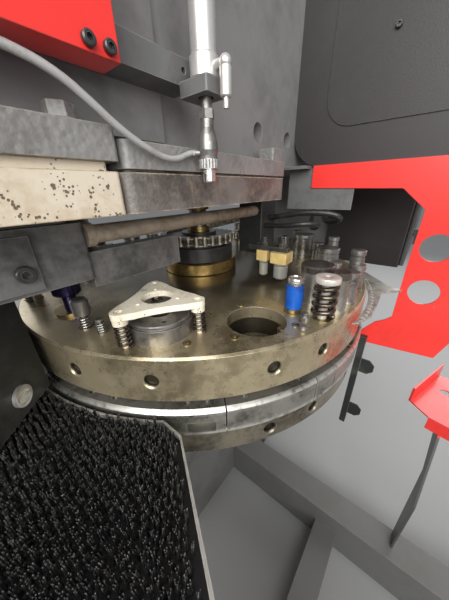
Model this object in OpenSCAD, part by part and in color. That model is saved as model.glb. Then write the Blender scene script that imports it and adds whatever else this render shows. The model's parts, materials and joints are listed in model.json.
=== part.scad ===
// Turret punch press with a C-shaped frame, two turret discs, a brush table and a moving sheet carriage.
// Millimetres. +Z is up, +Y points from the operator's side to the column, +X is the operator's right.
// The origin is on the floor under the middle of the whole machine.

/* [Turret] */
// Radius of both turret discs
disc_r = 540; // [530:1:550]
// Height of the upper disc's top face above the floor
turret_top = 1100; // [1090:1:1110]
// Thickness of the upper disc
upper_disc_h = 100; // [95:1:102]
// Thickness of the lower disc
lower_disc_h = 62; // [55:1:66]
// Gap between the upper disc and the die holders, where the sheet runs
pass_gap = 14; // [13:0.5:16]
// Height of the die holder ring
holder_h = 68; // [62:1:70]
// Width of the die holder ring inside the disc rim
holder_w = 195; // [190:1:210]
// Overhang of the die holders past the disc rim
holder_over = 10; // [8:0.5:12]
// Width of the cut between two die holders
holder_cut = 3; // [2:0.5:5]
// Bevel along the top and bottom edges of the discs
rim_bevel = 4; // [2:0.5:6]
// Radius of the index holes in both rims
index_hole_r = 12.5; // [11:0.5:14]
// Depth of the index holes
index_hole_deep = 10; // [7:1:11]

/* [Stations] */
// Radius of a large guide bore
large_bore_r = 63.5; // [60:0.5:65]
// Radius of a medium guide bore
medium_bore_r = 38; // [35:0.5:39]
// Radius of a small guide bore
small_bore_r = 21; // [18:0.5:22]
// Distance from the disc rim to the circle of the large stations
large_inset = 96; // [92:1:100]
// Distance from the disc rim to the circle of the medium stations and the ram
medium_inset = 95; // [93:1:97]
// Distance from the disc rim to the inner circle of small stations
inner_inset = 93; // [91:1:95]
// Distance from the disc rim to the outer circle of small stations
outer_inset = 33; // [31:1:35]
// Highest tool top above the upper disc
tool_top = 94; // [90:1:96]
// Free radius between a sliding tool and its bore
slide_fit = 0.08; // [0.05:0.01:0.1]
// Radius of the flush guide bushes in the upper disc
bush_r = 9; // [8:0.5:10]

/* [Lifter tool] */
// Distance from the tool's centre to each corner post
lifter_reach = 79; // [77:1:81]
// Radius round each corner of the lifter plate
lifter_corner_r = 14; // [13:0.5:16]
// Thickness of the lifter plate
lifter_h = 12; // [10:1:15]
// Radius of the hole in the middle of the lifter plate
lifter_hole_r = 30; // [25:1:34]
// Turn of the lifter plate about its own centre
lifter_turn = -92; // [-95:1:-89]
// Height of the tool body above the disc
lifter_body_top = 38; // [34:1:40]
// Free travel of the lifter plate
lifter_travel = 20; // [16:0.5:20]
// Radius of the wire of the lifter springs
lifter_wire_r = 2.2; // [1.5:0.1:2.2]
// Radius of a lifter post
post_r = 5; // [4:0.5:6]

/* [Spring tool] */
// Outside radius of the heavy spring
heavy_r = 25; // [23:0.5:25.5]
// Radius of the heavy spring's wire
heavy_wire_r = 5.2; // [3.5:0.1:5.4]
// Turns of the heavy spring
heavy_turns = 4; // [3:1:4]
// Thickness of the heavy spring's cap
heavy_cap_h = 13; // [10:1:16]

/* [Drive] */
// Pitch of the roller chains
chain_pitch = 25.4; // [25:0.1:25.6]
// Teeth on a turret sprocket
turret_teeth = 30; // [30:1:30]
// Teeth on a drive shaft sprocket
drive_teeth = 20; // [20:1:20]
// Links in each chain
chain_links = 76; // [76:2:76]
// Direction of the drive shaft seen from the turret axis
drive_angle = 100; // [98:1:102]
// Height of the upper chain's middle above the disc
upper_chain_z = 110; // [110:1:114]
// Depth of the lower chain's middle below the disc's top
lower_chain_z = -287; // [-292:1:-286]
// Radius of the drive shaft
drive_shaft_r = 25; // [22:0.5:28]
// Radius of the upper turret shaft
upper_shaft_r = 29; // [26:0.5:31]
// Radius of the lower turret shaft
lower_shaft_r = 40; // [36:0.5:44]
// Radius of the brass ring on the upper disc
brass_ring_r = 128; // [122:1:134]
// Height of the brass ring
brass_ring_h = 38; // [34:1:42]

/* [Frame] */
// Half the width of the upper arm and the column
arm_half = 230; // [226:1:232]
// Half the width of the lower arm
lower_half = 140; // [130:1:150]
// Underside of the upper arm above the disc
arm_low = 312; // [308:1:316]
// Top of the frame above the disc
frame_high = 900; // [860:10:940]
// Top of the lower arm below the disc
lower_arm_z = -330; // [-336:1:-326]
// Room from the drive shaft back to the face of the column
column_clearance = 98.4; // [97:0.2:104]
// Back of the column behind the turret axis
column_back = 1500; // [1450:10:1550]
// Front of the upper arm ahead of the turret axis
arm_front = -720; // [-740:5:-700]
// Radius in the corners of the throat
throat_r = 60; // [40:5:66]
// Half the width of the plates under the arm
plate_half = 300; // [295:1:303]
// Radius of the ram
ram_r = 50; // [46:0.5:54]
// Stroke of the ram
ram_stroke = 35; // [25:1:38]

/* [Table] */
// Height of the brush tips below the disc's top
brush_top = -106; // [-108:0.5:-105]
// Height of the brushes
brush_h = 29; // [25:1:34]
// Half the width of the fixed middle table
table_half = 700; // [690:5:705]
// Front edge of the tables ahead of the turret axis
table_front = -1500; // [-1520:5:-1480]
// Free gap between the turret discs and the middle table
table_gap = 8; // [6:1:20]
// Width of one brush strip
strip_w = 14; // [12:1:16]
// Distance from one brush strip to the next
strip_pitch = 26; // [24:1:30]
// Thickness of the table plates
table_h = 25; // [20:1:30]
// Outer end of the side tables, left and right
reach_x = 1900; // [1860:10:1950]
// Sideways place of the rails that carry the side tables
rail_x = 1300; // [1260:10:1340]
// Width of the beams in the base
beam_w = 100; // [90:5:110]
// Height of the cross beams
beam_h = 180; // [160:5:190]
// Height of the levelling feet
foot_h = 20; // [15:1:30]
// Travel of the bridge along the table
bridge_travel = 650; // [600:10:650]
// Thickness of sheet-metal covers
sheet_t = 4; // [3:0.5:5]

/* [Hidden] */
$fn = 64;
play = 0.3;
fit = 0.05;
eps = 1;
front_y = table_front - 150;
// The turret axis stands where the whole machine is centred on the origin
turret_y = -(column_back + front_y) / 2;
floor_z = -turret_top;
base_z = floor_z + foot_h;
die_top = -upper_disc_h - pass_gap;
lower_disc_top = die_top - holder_h;
lower_disc_low = lower_disc_top - lower_disc_h;
holder_r = disc_r + holder_over;
holder_in_r = disc_r - holder_w;
row_large = disc_r - large_inset;
row_medium = disc_r - medium_inset;
row_inner = disc_r - inner_inset;
row_outer = disc_r - outer_inset;
ram_y = -row_medium;
ram_low = tool_top + 0.5;
large_stations = [-56.5, -31, 122, 149];
open_station = large_stations[1];
lifter_station = large_stations[0];
medium_stations = [-90, -8, 32, 58, 90, 180, 212, 238];
outer_stations = [-16, -9.6, -2.7, 8, 17, 45, 71, 103, 110, 165, 196, 225, 251];
inner_stations = [-18.6, 10, 19, 45, 73, 105, 165, 196, 225];
bush_turns = [-58, 52, 180];
index_angles = [-90, -73, -56, -32, -19, 0, 17, 32, 58, 73, 90, 107, 122, 149, 163, 180, 197, 212, 238, 253];
holder_cuts = [-103, -77, -42.2, -20.5, -13, -3, 20, 45, 71, 103, 135.5, 165, 196, 225, 251];
white_tool = [disc_r - 67, -76.7];
corner_angles = [0, 120, 240];
motor_r = 86;
plate_gap = 32;
upper_plate_low = arm_low - plate_gap;
carrier_high = upper_plate_low - 4;
carrier_low = carrier_high - 50;
head_plate_low = arm_low - 25;
head_plate_high = arm_low + 11;
block_high = head_plate_low - 11;
block_low = block_high - 50;
guide_high = block_low - 13;
guide_low = guide_high - 90;
carrier_back = 25;
split_y = ram_y + 20;
guide_half = 200;
guide_back = ram_y - 5;
guide_front = ram_y - 195;
head_back = -314;
cover_back = -426;
cover_low = 370;
cover_high = 840;
manifold_front = 60;
// The air cylinder hangs beside the wider of the plates and the bar on the head
unit_at = [max(plate_half, arm_half + 70) + 25, -295, 0];
unit_low = 370;
// The guards at the right stand off the disc's rim
guard_x = disc_r + 20;
guard_y = 200;
roller_r = 7.9;
chain_half = 15;
link_t = 3;
turret_pitch_r = chain_pitch / (2 * sin(180 / turret_teeth));
drive_pitch_r = chain_pitch / (2 * sin(180 / drive_teeth));
// The distance between the shafts follows from the chain's length and the two tooth counts
free_links = chain_links - (turret_teeth + drive_teeth) / 2;
drive_c = chain_pitch / 4 * (free_links + sqrt(pow(free_links, 2)
    - 8 * pow((turret_teeth - drive_teeth) / (2 * PI), 2)));
// Turn of both tangent points, and the four stretches of the loop
wrap_turn = asin((turret_pitch_r - drive_pitch_r) / drive_c);
big_arc = (180 + 2 * wrap_turn) / 360 * turret_teeth * chain_pitch;
small_arc = (180 - 2 * wrap_turn) / 360 * drive_teeth * chain_pitch;
strand = drive_c * cos(wrap_turn);
// Part of a pitch by which the links are shifted so that the rollers meet the tooth gaps
chain_shift = 0.5 - (90 - wrap_turn) * turret_teeth / 360 + 7;
// Turn of the small sprockets that puts a tooth gap under a roller
drive_phase = wrap_turn - 90 - 180 / drive_teeth
    + (chain_shift * chain_pitch - big_arc - strand) / chain_pitch * 360 / drive_teeth;
roller_bore_r = 4.3;
link_pin_r = 4;
drive_at = [drive_c * cos(drive_angle), drive_c * sin(drive_angle)];
column_y = drive_at[1] + column_clearance;
bed_z = brush_top - brush_h;
bed_low = bed_z - table_h;
table_r = holder_r + table_gap;
table_corner = [374, -452];
table_side_y = -653;
side_in = table_half + 40;
table_leg_x = table_half - 100;
rail_high = -230;
rail_h = 20;
rail_beam_h = 100;
bridge_back = table_front - 20;
bridge_w = 120;
bridge_low = brush_top + 16;
bridge_high = bridge_low + 130;

module at_turret() translate([0, turret_y, turret_top]) children();
module polar(r, a) rotate(a) translate([r, 0, 0]) children();
module box(lo, hi) translate(lo) cube(hi - lo);
module rod(r, z0, z1) translate([0, 0, z0]) cylinder(r = r, h = z1 - z0);
module tube(r_out, r_in, z0, z1) difference() {
    rod(r_out, z0, z1);
    rod(r_in, z0 - eps, z1 + eps);
}
// A rod along Y from y0 to y1
module rod_y(r, y0, y1) translate([0, y1, 0]) rotate([90, 0, 0]) cylinder(r = r, h = y1 - y0);
// A rod along X from x0 to x1
module rod_x(r, x0, x1) translate([x0, 0, 0]) rotate([0, 90, 0]) cylinder(r = r, h = x1 - x0);
// A profile in Y and Z, drawn out along X from x0 to x1
module along_x(x0, x1) translate([x0, 0, 0]) rotate([90, 0, 90]) linear_extrude(x1 - x0) children();
// A profile in X and Z, drawn out along Y from y0 to y1
module along_y(y0, y1) translate([0, y1, 0]) rotate([90, 0, 0]) linear_extrude(y1 - y0) children();
module rounded(w, h, r) {
    translate([r, 0]) square([w - 2 * r, h]);
    translate([0, r]) square([w, h - 2 * r]);
    for (x = [r, w - r], y = [r, h - r]) translate([x, y]) circle(r);
}
// A plate with round upright corners
module slab(lo, hi, r) translate(lo) linear_extrude(hi[2] - lo[2]) rounded(hi[0] - lo[0], hi[1] - lo[1], r);
// A disc with a bevel of size b on both edges
module bevelled(r, z0, z1, b) rotate_extrude()
    polygon([[0, z0], [r - b, z0], [r, z0 + b], [r, z1 - b], [r - b, z1], [0, z1]]);

// Rings of points round each point of a path, joined into a closed tube
function unit(v) = v / norm(v);
function heading(p, i) = unit(p[min(i + 1, len(p) - 1)] - p[max(i - 1, 0)]);
function side_of(d) = unit(cross(d, abs(d[2]) < 0.9 ? [0, 0, 1] : [0, 1, 0]));
function ring_at(c, d, r, sides) = [for (k = [0:sides - 1]) let (s = side_of(d), u = cross(s, d))
    c + r * (cos(360 * k / sides) * s + sin(360 * k / sides) * u)];
module swept(p, r, sides) {
    n = len(p);
    rings = [for (i = [0:n - 1]) each ring_at(p[i], heading(p, i), r, sides)];
    walls = [for (i = [0:n - 2], k = [0:sides - 1]) let (j = (k + 1) % sides)
        [i * sides + k, i * sides + j, (i + 1) * sides + j, (i + 1) * sides + k]];
    first = [for (k = [sides - 1:-1:0]) k];
    last = [for (k = [0:sides - 1]) (n - 1) * sides + k];
    polyhedron(rings, concat([first, last], walls), convexity = 10);
}
// Points of a smooth curve through hand-placed points, with m steps between each two
function blend_at(a, b, c, d, t) = 0.5 * ((2 * b) + (c - a) * t + (2 * a - 5 * b + 4 * c - d) * t * t
    + (3 * b - a - 3 * c + d) * t * t * t);
function smooth(p, m) = concat([for (i = [0:len(p) - 2], s = [0:m - 1])
    blend_at(p[max(i - 1, 0)], p[i], p[i + 1], p[min(i + 2, len(p) - 1)], s / m)], [p[len(p) - 1]]);
// A coil spring standing on z0 and reaching z1
module coil(r_out, wire, z0, z1, turns, steps, sides) swept([for (i = [0:turns * steps])
    [(r_out - wire) * cos(360 * i / steps), (r_out - wire) * sin(360 * i / steps),
    z0 + wire + (z1 - z0 - 2 * wire) * i / (turns * steps)]], wire, sides);

// Frame
module column_profile() polygon([[column_y, base_z], [column_back, base_z], [column_back, frame_high - 90],
    [column_back - 90, frame_high], [arm_front + 110, frame_high], [arm_front, frame_high - 110],
    [arm_front, head_plate_high], [split_y, head_plate_high], [split_y, arm_low], [column_y, arm_low]]);
module lower_profile() polygon([[-500, lower_arm_z], [-500, base_z + 180], [-320, base_z],
    [column_back - 40, base_z], [column_back - 40, lower_arm_z], [column_y, lower_arm_z]]);
module throat_fillet(y, z, r, up) translate([y, z]) difference() {
    translate([-r, up ? -r : -eps]) square(r + eps);
    translate([-r, up ? -r : r]) circle(r);
}
module c_frame() color([0.2, 0.21, 0.22]) at_turret() difference() {
    union() {
        along_x(-arm_half, arm_half) {
            column_profile();
            throat_fillet(column_y, arm_low, throat_r, true);
        }
        along_x(-lower_half, lower_half) {
            lower_profile();
            throat_fillet(column_y, lower_arm_z, throat_r / 2, false);
        }
        // Ribs of the column's foot
        for (s = [-1, 1]) along_x(s * (lower_half + 45) - 15, s * (lower_half + 45) + 15)
            polygon([[200, base_z], [column_y + eps, base_z], [column_y + eps, base_z + 620]]);
        // Head housing, wider than the arm
        box([-arm_half - 20, arm_front, head_plate_high], [arm_half + 20, head_back, frame_high - 110]);
        // Boss round the drive shaft's lower bearing
        translate(drive_at) rod(60, lower_arm_z - 90, lower_arm_z);
    }
    translate([0, ram_y, 0]) rod(ram_r + slide_fit, arm_low - 20, arm_low + 180);
    rod(lower_shaft_r + fit, lower_arm_z - 150, lower_arm_z + eps);
    translate(drive_at) rod(drive_shaft_r + fit, lower_arm_z - 80, lower_arm_z + eps);
    // Room for the turret motor in the corner of the throat
    translate(drive_at) rod(motor_r + play, arm_low - throat_r - 40, arm_low);
    for (s = [-1, 1], y = [0, 165]) translate([s * arm_half, y, arm_low + 68]) rod_x(21, -30, 30);
    for (y = [-40, 1300]) translate([0, y, frame_high - 80]) rod_x(40, -arm_half - eps, arm_half + eps);
    // Recessed panels in both flanks of the column
    for (s = [-1, 1]) translate([s * arm_half, 0, 0]) along_x(-8, 8)
        translate([column_y + 120, base_z + 160]) rounded(column_back - column_y - 240, 620, 60);
}
module head_plates() color([0.33, 0.34, 0.35]) at_turret() {
    difference() {
        slab([-plate_half, split_y + 3, upper_plate_low], [plate_half, carrier_back, arm_low], 12);
        rod(upper_shaft_r + 2, upper_plate_low - eps, arm_low + eps);
        translate([0, ram_y, 0]) rod(ram_r + 4, upper_plate_low - eps, arm_low + eps);
    }
    difference() {
        slab([-plate_half, arm_front, head_plate_low], [plate_half, split_y - 3, head_plate_high], 6);
        translate([0, ram_y, 0]) rod(ram_r + 2, head_plate_low - eps, head_plate_high + eps);
    }
    slab([plate_half - 44, carrier_back - 62, arm_low + play], [plate_half - 4, carrier_back - 18,
        arm_low + 26], 4);
    for (y = [split_y - 49, guide_front + 20]) translate([plate_half - 24, y, 0]) hex_head(16,
        head_plate_high, 16);
}
module hex_head(r, z, h) translate([0, 0, z]) {
    cylinder(r = r + 3, h = 2);
    translate([0, 0, 2]) cylinder(r = r, h = h - 2, $fn = 6);
}
module turret_carrier() color([0.3, 0.29, 0.28]) at_turret() difference() {
    union() {
        slab([-plate_half, split_y - 3, carrier_low], [plate_half, carrier_back, carrier_high], 16);
        slab([-plate_half + 12, split_y + 9, carrier_high], [plate_half - 12, carrier_back - 12,
            upper_plate_low], 8);
        rod(48, carrier_low - 6, carrier_low);
    }
    rod(upper_shaft_r + fit, carrier_low - 7, upper_plate_low + eps);
    translate([0, ram_y, 0]) rod(ram_r + 4, carrier_low - eps, upper_plate_low + eps);
}
module machined_block() color([0.72, 0.64, 0.5]) at_turret() difference() {
    union() {
        slab([-plate_half, arm_front, block_low], [plate_half, split_y - 6, block_high], 6);
        slab([-plate_half + 10, arm_front + 10, block_high], [plate_half - 10, split_y - 16,
            head_plate_low], 4);
    }
    translate([0, ram_y, 0]) rod(ram_r + 2, block_low - eps, head_plate_low + eps);
}
module ram_guide() color([0.17, 0.17, 0.17]) at_turret() {
    difference() {
        union() {
            slab([-guide_half, guide_front, guide_low], [guide_half, guide_back, guide_high], 8);
            slab([-guide_half + 20, guide_front + 10, guide_high], [guide_half - 20, guide_back - 15,
                block_low], 8);
            translate([0, ram_y, 0]) rod(ram_r + 30, guide_low, guide_high);
            box([guide_half, guide_front + 20, guide_low + 8], [guide_half + 10, guide_front + 115,
                guide_high - 8]);
        }
        translate([0, ram_y, 0]) rod(ram_r + slide_fit, guide_low - eps, block_low + eps);
    }
    // Flat bar that runs back from the guide over the tools
    for (s = [-1, 1]) translate([s * 175, 0, 0])
        box([-15, guide_back - eps, guide_low - 18], [15, guide_back + 192, guide_low + 42]);
}
module ram() color([0.62, 0.62, 0.6]) at_turret() translate([0, ram_y, 0]) difference() {
    bevelled(ram_r, ram_low, arm_low + 110, 3);
    rod(12, arm_low + 60, arm_low + 111);
}
module ram_cylinder() color([0.25, 0.26, 0.27]) at_turret() translate([0, ram_y, frame_high]) {
    bevelled(150, 0, 36, 4);
    rod(115, 36, 128);
    bevelled(130, 128, 150, 3);
    for (a = [22.5:45:337.5]) polar(132, a) hex_head(10, 35, 14);
    translate([0, 0, 82]) rod_y(14, 100, 141);
}

// Upper turret
module disc_bores(z0, z1, cut) {
    for (a = large_stations) polar(row_large, a) rod(large_bore_r - cut, z0, z1);
    for (a = medium_stations) polar(row_medium, a) rod(medium_bore_r - cut, z0, z1);
    for (a = outer_stations) polar(row_outer, a) rod(small_bore_r - cut / 2, z0, z1);
    for (a = inner_stations) polar(row_inner, a) rod(small_bore_r - cut / 2, z0, z1);
}
module index_bores(z) for (a = index_angles) rotate(a) translate([0, 0, z]) {
    rod_x(index_hole_r, disc_r - index_hole_deep, disc_r + eps);
    translate([disc_r - 4, 0, 0]) rotate([0, 90, 0]) cylinder(r1 = index_hole_r, r2 = index_hole_r + 5,
        h = 5);
}
module upper_disc() color([0.42, 0.36, 0.27]) at_turret() difference() {
    bevelled(disc_r, -upper_disc_h, 0, rim_bevel);
    disc_bores(-upper_disc_h - eps, eps, 0);
    index_bores(-upper_disc_h / 2);
    rod(upper_shaft_r + fit, -upper_disc_h - eps, eps);
    polar(row_outer - 34, white_tool[1]) rod(16, -60, eps);
    lifter_posts() rod(post_r + slide_fit, -60, eps);
    for (a = large_stations, k = bush_turns)
        polar(row_large, a) polar(large_bore_r + 16, k) rod(bush_r + fit, -20, eps);
}
module lifter_posts() polar(row_large, lifter_station) for (a = corner_angles)
    rotate(a + lifter_turn - lifter_station) translate([lifter_reach, 0, 0]) children();
module upper_shaft() color([0.6, 0.56, 0.48]) at_turret() {
    bevelled(upper_shaft_r, -upper_disc_h, upper_plate_low - 6, 2);
}
module brass_collars() color([0.74, 0.58, 0.28]) at_turret() {
    difference() {
        bevelled(brass_ring_r, 0, brass_ring_h, 3);
        rod(upper_shaft_r + fit, -eps, brass_ring_h + eps);
    }
    for (z = [[upper_chain_z + 16, upper_chain_z + 34], [carrier_low - 30, carrier_low - 6 - play]])
        difference() {
        bevelled(upper_shaft_r + 9, z[0], z[1], 1.5);
        rod(upper_shaft_r + fit, z[0] - eps, z[1] + eps);
    }
}
// Flat toothed wheel whose tooth gaps fit the chain's rollers
module toothed(teeth, pitch_r, z0, z1) translate([0, 0, z0]) linear_extrude(z1 - z0) difference() {
    circle(pitch_r + 5, $fn = 96);
    for (i = [0:teeth - 1]) rotate((i + 0.5) * 360 / teeth) translate([pitch_r, 0]) {
        circle(roller_r + play, $fn = 24);
        polygon([[0, -roller_r - play], [14, -roller_r - 4.4], [14, roller_r + 4.4], [0, roller_r + play]]);
    }
}
module upper_sprocket() color([0.1, 0.1, 0.1]) at_turret() difference() {
    union() {
        bevelled(115, brass_ring_h, upper_chain_z - 25, 3);
        rod(96, upper_chain_z - 25, upper_chain_z - 6);
        rotate(drive_angle) toothed(turret_teeth, turret_pitch_r, upper_chain_z - 6, upper_chain_z + 6);
        rod(60, upper_chain_z + 6, upper_chain_z + 16);
    }
    rod(upper_shaft_r + fit, brass_ring_h - eps, upper_chain_z + 17);
}
module station_bushes() color([0.66, 0.62, 0.52]) at_turret() {
    for (a = large_stations, k = bush_turns) polar(row_large, a) polar(large_bore_r + 16, k) difference() {
        rod(bush_r, -20, 1.5);
        rod(4.5, -3, 2);
    }
    // Fixed guides of the tools that are pushed down, flush with the disc or standing on it
    polar(row_outer, outer_stations[0]) tube(small_bore_r - fit, 9 + slide_fit, -upper_disc_h + 2, 2);
    polar(row_inner, inner_stations[0]) {
        tube(small_bore_r - fit, 8 + slide_fit, -upper_disc_h + 2, 0);
        difference() {
            bevelled(small_bore_r - 2, 0, 9, 1.5);
            rod(8 + slide_fit, -eps, 10);
        }
    }
    polar(row_medium, medium_stations[0]) tube(medium_bore_r - fit, 15 + slide_fit, -upper_disc_h + 2, 6);
    // Spring pin inside the wall of the open bore
    polar(row_large, open_station) polar(large_bore_r - 9 - play, 62) {
        rod(7, -58, -16);
        for (z = [-50:9:-23]) rod(9, z, z + 5);
    }
}
// A capped tool in a bore of radius r, standing h above the disc
module canister(r, h, low) {
    rod(r - slide_fit, low, 4);
    rod(r - 2, 4, h - 22);
    bevelled(r - 4, h - 22, h - 16, 1);
    bevelled(r - slide_fit - 1, h - 16, h, 2);
}
module seated_tools() color([0.5, 0.5, 0.5]) at_turret() {
    // Body of the lifter tool
    polar(row_large, lifter_station) difference() {
        union() {
            rod(large_bore_r - fit, -upper_disc_h + 4, lifter_body_top - 8);
            bevelled(large_bore_r - 4, lifter_body_top - 8, lifter_body_top, 1.5);
        }
        rod(22, lifter_body_top - 30, lifter_body_top + eps);
        for (a = [30:120:270]) polar(42, a) rod(5, lifter_body_top - 12, lifter_body_top + eps);
    }
    for (i = [2:7]) if (i != 4) polar(row_medium, medium_stations[i])
        canister(medium_bore_r, tool_top - 14 - 6 * (i % 3), -upper_disc_h + 8);
    polar(row_medium, medium_stations[4]) canister(medium_bore_r, 40, -upper_disc_h + 8);
    for (i = [2:12]) polar(row_outer, outer_stations[i])
        canister(small_bore_r, tool_top - 4 - 7 * (i % 4), -upper_disc_h + 8);
    for (i = [1:8]) polar(row_inner, inner_stations[i])
        canister(small_bore_r, tool_top - 30 - 8 * (i % 3), -upper_disc_h + 8);
    // Low stops beside the open bore and a slim knob behind the canisters
    polar(disc_r - 45, -20.6) {
        bevelled(12, 0, 14, 2);
        rod(7, 14, 20);
    }
    polar(disc_r - 23, -23.6) bevelled(9, 0, 9, 2);
    polar(disc_r - 71, -1.4) {
        rod(8, 0, 70);
        bevelled(11, 70, tool_top - 6, 2);
    }
    // White tool with its spring, next to the ram
    polar(white_tool[0], white_tool[1]) {
        rod(15.9, -60, 2);
        rod(7, 2, 28);
        bevelled(16, 28, 64, 3);
        coil(13, 1.6, 2.1, 27.8, 4, 12, 6);
    }
    polar(disc_r - 62, -70.6) {
        bevelled(10, 0, 3, 1);
        rod(4, 3, 26);
        coil(9, 1.5, 3.1, 25.8, 4, 10, 6);
        bevelled(8, 26, 31, 1);
    }
}
// Equilateral plate with round corners: six tangent points and three circles
module rounded_triangle(reach, r) {
    polygon([for (a = corner_angles, k = [-60, 60])
        [reach * cos(a) + r * cos(a + k), reach * sin(a) + r * sin(a + k)]]);
    for (a = corner_angles) rotate(a) translate([reach, 0]) circle(r, $fn = 40);
}
// The plate's sides are hollowed out a little between the corners
module hollow_triangle(reach, r) difference() {
    rounded_triangle(reach, r);
    for (a = corner_angles) rotate(a + 60) translate([reach / 2 + r - 4 + 260, 0]) circle(260, $fn = 200);
}
module lifter_plate() color([0.74, 0.69, 0.58]) at_turret() {
    plate_low = lifter_body_top + lifter_travel + 1;
    polar(row_large, lifter_station) rotate(lifter_turn - lifter_station) difference() {
        translate([0, 0, plate_low]) linear_extrude(lifter_h) hollow_triangle(lifter_reach, lifter_corner_r);
        rod(lifter_hole_r, plate_low - eps, plate_low + lifter_h + eps);
        for (a = corner_angles) rotate(a) {
            translate([lifter_reach, 0, 0]) rod(7, plate_low + lifter_h - 8, plate_low + lifter_h + eps);
            translate([lifter_hole_r + 11, 0, 0]) rod(4.5, plate_low + lifter_h - 3,
                plate_low + lifter_h + eps);
        }
    }
    polar(row_large, lifter_station) rotate(lifter_turn - lifter_station) for (a = corner_angles)
        polar(lifter_hole_r + 11, a) rod(4, plate_low + lifter_h - 3, plate_low + lifter_h + 1.5);
    // Shoulder posts with their spring cups
    lifter_posts() {
        rod(post_r, -32, plate_low);
        tube(13, post_r, plate_low - 11, plate_low);
    }
}
module lifter_springs() color([0.3, 0.25, 0.2]) at_turret() lifter_posts()
    coil(13.5, lifter_wire_r, play, lifter_body_top + lifter_travel - 10 - play, 5, 16, 8);
module heavy_spring() color([0.22, 0.19, 0.17]) at_turret() polar(row_outer, outer_stations[0])
    coil(heavy_r, heavy_wire_r, 2 + play, tool_top - heavy_cap_h - play, heavy_turns, 22, 10);
module heavy_spring_cap() color([0.62, 0.58, 0.54]) at_turret() polar(row_outer, outer_stations[0]) {
    difference() {
        bevelled(heavy_r, tool_top - heavy_cap_h, tool_top, 2);
        rod(6, tool_top - 3, tool_top + eps);
    }
    rod(9, -upper_disc_h + 30, tool_top - heavy_cap_h);
}
module blue_sleeve() color([0.05, 0.2, 0.7]) at_turret() polar(row_inner, inner_stations[0]) difference() {
    bevelled(small_bore_r - 1, 9 + play, 62, 1.5);
    rod(8 + play, 9, 63);
}
module blue_tool_cap() color([0.7, 0.7, 0.7]) at_turret() polar(row_inner, inner_stations[0]) {
    rod(8, -upper_disc_h + 30, 62 + play);
    rod(small_bore_r - 6, 62 + play, 67);
    difference() {
        bevelled(small_bore_r - 3, 67, 80, 2);
        rod(6, 77, 81);
    }
}
module canister_large() color([0.62, 0.6, 0.55]) at_turret() polar(row_medium, medium_stations[1])
    canister(medium_bore_r, tool_top - 1, -upper_disc_h + 12);
module canister_small() color([0.55, 0.55, 0.57]) at_turret() polar(row_outer, outer_stations[1])
    canister(small_bore_r, tool_top - 3, -upper_disc_h + 12);
module ram_tool() color([0.16, 0.13, 0.3]) at_turret() polar(row_medium, medium_stations[0]) {
    rod(15, -upper_disc_h + 40, 44);
    bevelled(30, 44, tool_top + 0.5 - play, 3);
    rod(8, -upper_disc_h + 2, -upper_disc_h + 40);
}

// Lower turret
module lower_disc() color([0.45, 0.4, 0.33]) at_turret() difference() {
    bevelled(disc_r, lower_disc_low, lower_disc_top, rim_bevel - 1);
    disc_bores(lower_disc_low - eps, lower_disc_top + eps, 12);
    index_bores((lower_disc_low + lower_disc_top) / 2);
    rod(lower_shaft_r + fit, lower_disc_low - eps, lower_disc_top + eps);
}
module die_holders() color([0.5, 0.5, 0.49]) at_turret() difference() {
    rotate_extrude() polygon([[holder_in_r, lower_disc_top], [holder_r - 6, lower_disc_top],
        [holder_r - 2, lower_disc_top + 4], [holder_r - 2, die_top - 14], [holder_r, die_top - 13],
        [holder_r, die_top - 7], [holder_r - 7, die_top], [holder_in_r, die_top]]);
    for (a = holder_cuts) rotate(a) box([holder_in_r - 5, -holder_cut / 2, lower_disc_top - eps],
        [holder_r + 5, holder_cut / 2, die_top + eps]);
    disc_bores(lower_disc_top + 28, die_top + eps, 3);
    disc_bores(lower_disc_top - eps, lower_disc_top + 29, 12);
    // Chip pocket in the outer wall
    rotate(-46.6) box([holder_r - 26, -34, lower_disc_top + 10], [holder_r + 5, 22, lower_disc_top + 36]);
    // Countersunk screws in the top
    for (a = [-97, -83, -72, -66, -50, -46, -38, -24, 26, 38, 52, 64, 96, 112, 132, 142, 172, 188, 218, 231])
        polar(holder_r - 22, a) rod(6, die_top - 7, die_top + eps);
}
module dies() color([0.66, 0.66, 0.64]) at_turret() difference() {
    disc_bores(lower_disc_top + 28, die_top + 1, 3 + 2 * fit);
    disc_bores(lower_disc_top, die_top + 2, 26);
    polar(row_medium, medium_stations[0]) rod(22, lower_disc_top, die_top + 2);
    for (a = concat(outer_stations)) polar(row_outer, a) rod(10, lower_disc_top, die_top + 2);
    for (a = concat(inner_stations)) polar(row_inner, a) rod(10, lower_disc_top, die_top + 2);
}
module lower_shaft() color([0.4, 0.4, 0.4]) at_turret() {
    difference() {
        union() {
            bevelled(lower_shaft_r, lower_arm_z - 140, lower_disc_top, 2);
            bevelled(130, lower_disc_low - 14, lower_disc_low, 2);
            rod(70, lower_chain_z + 6, lower_disc_low - 14);
            rotate(drive_angle) toothed(turret_teeth, turret_pitch_r, lower_chain_z - 6, lower_chain_z + 6);
            rod(70, lower_chain_z - 20, lower_chain_z - 6);
        }
        for (a = [0:60:300]) polar(115, a) rod(5, lower_disc_low - 15, lower_disc_low - 6);
    }
}

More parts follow.
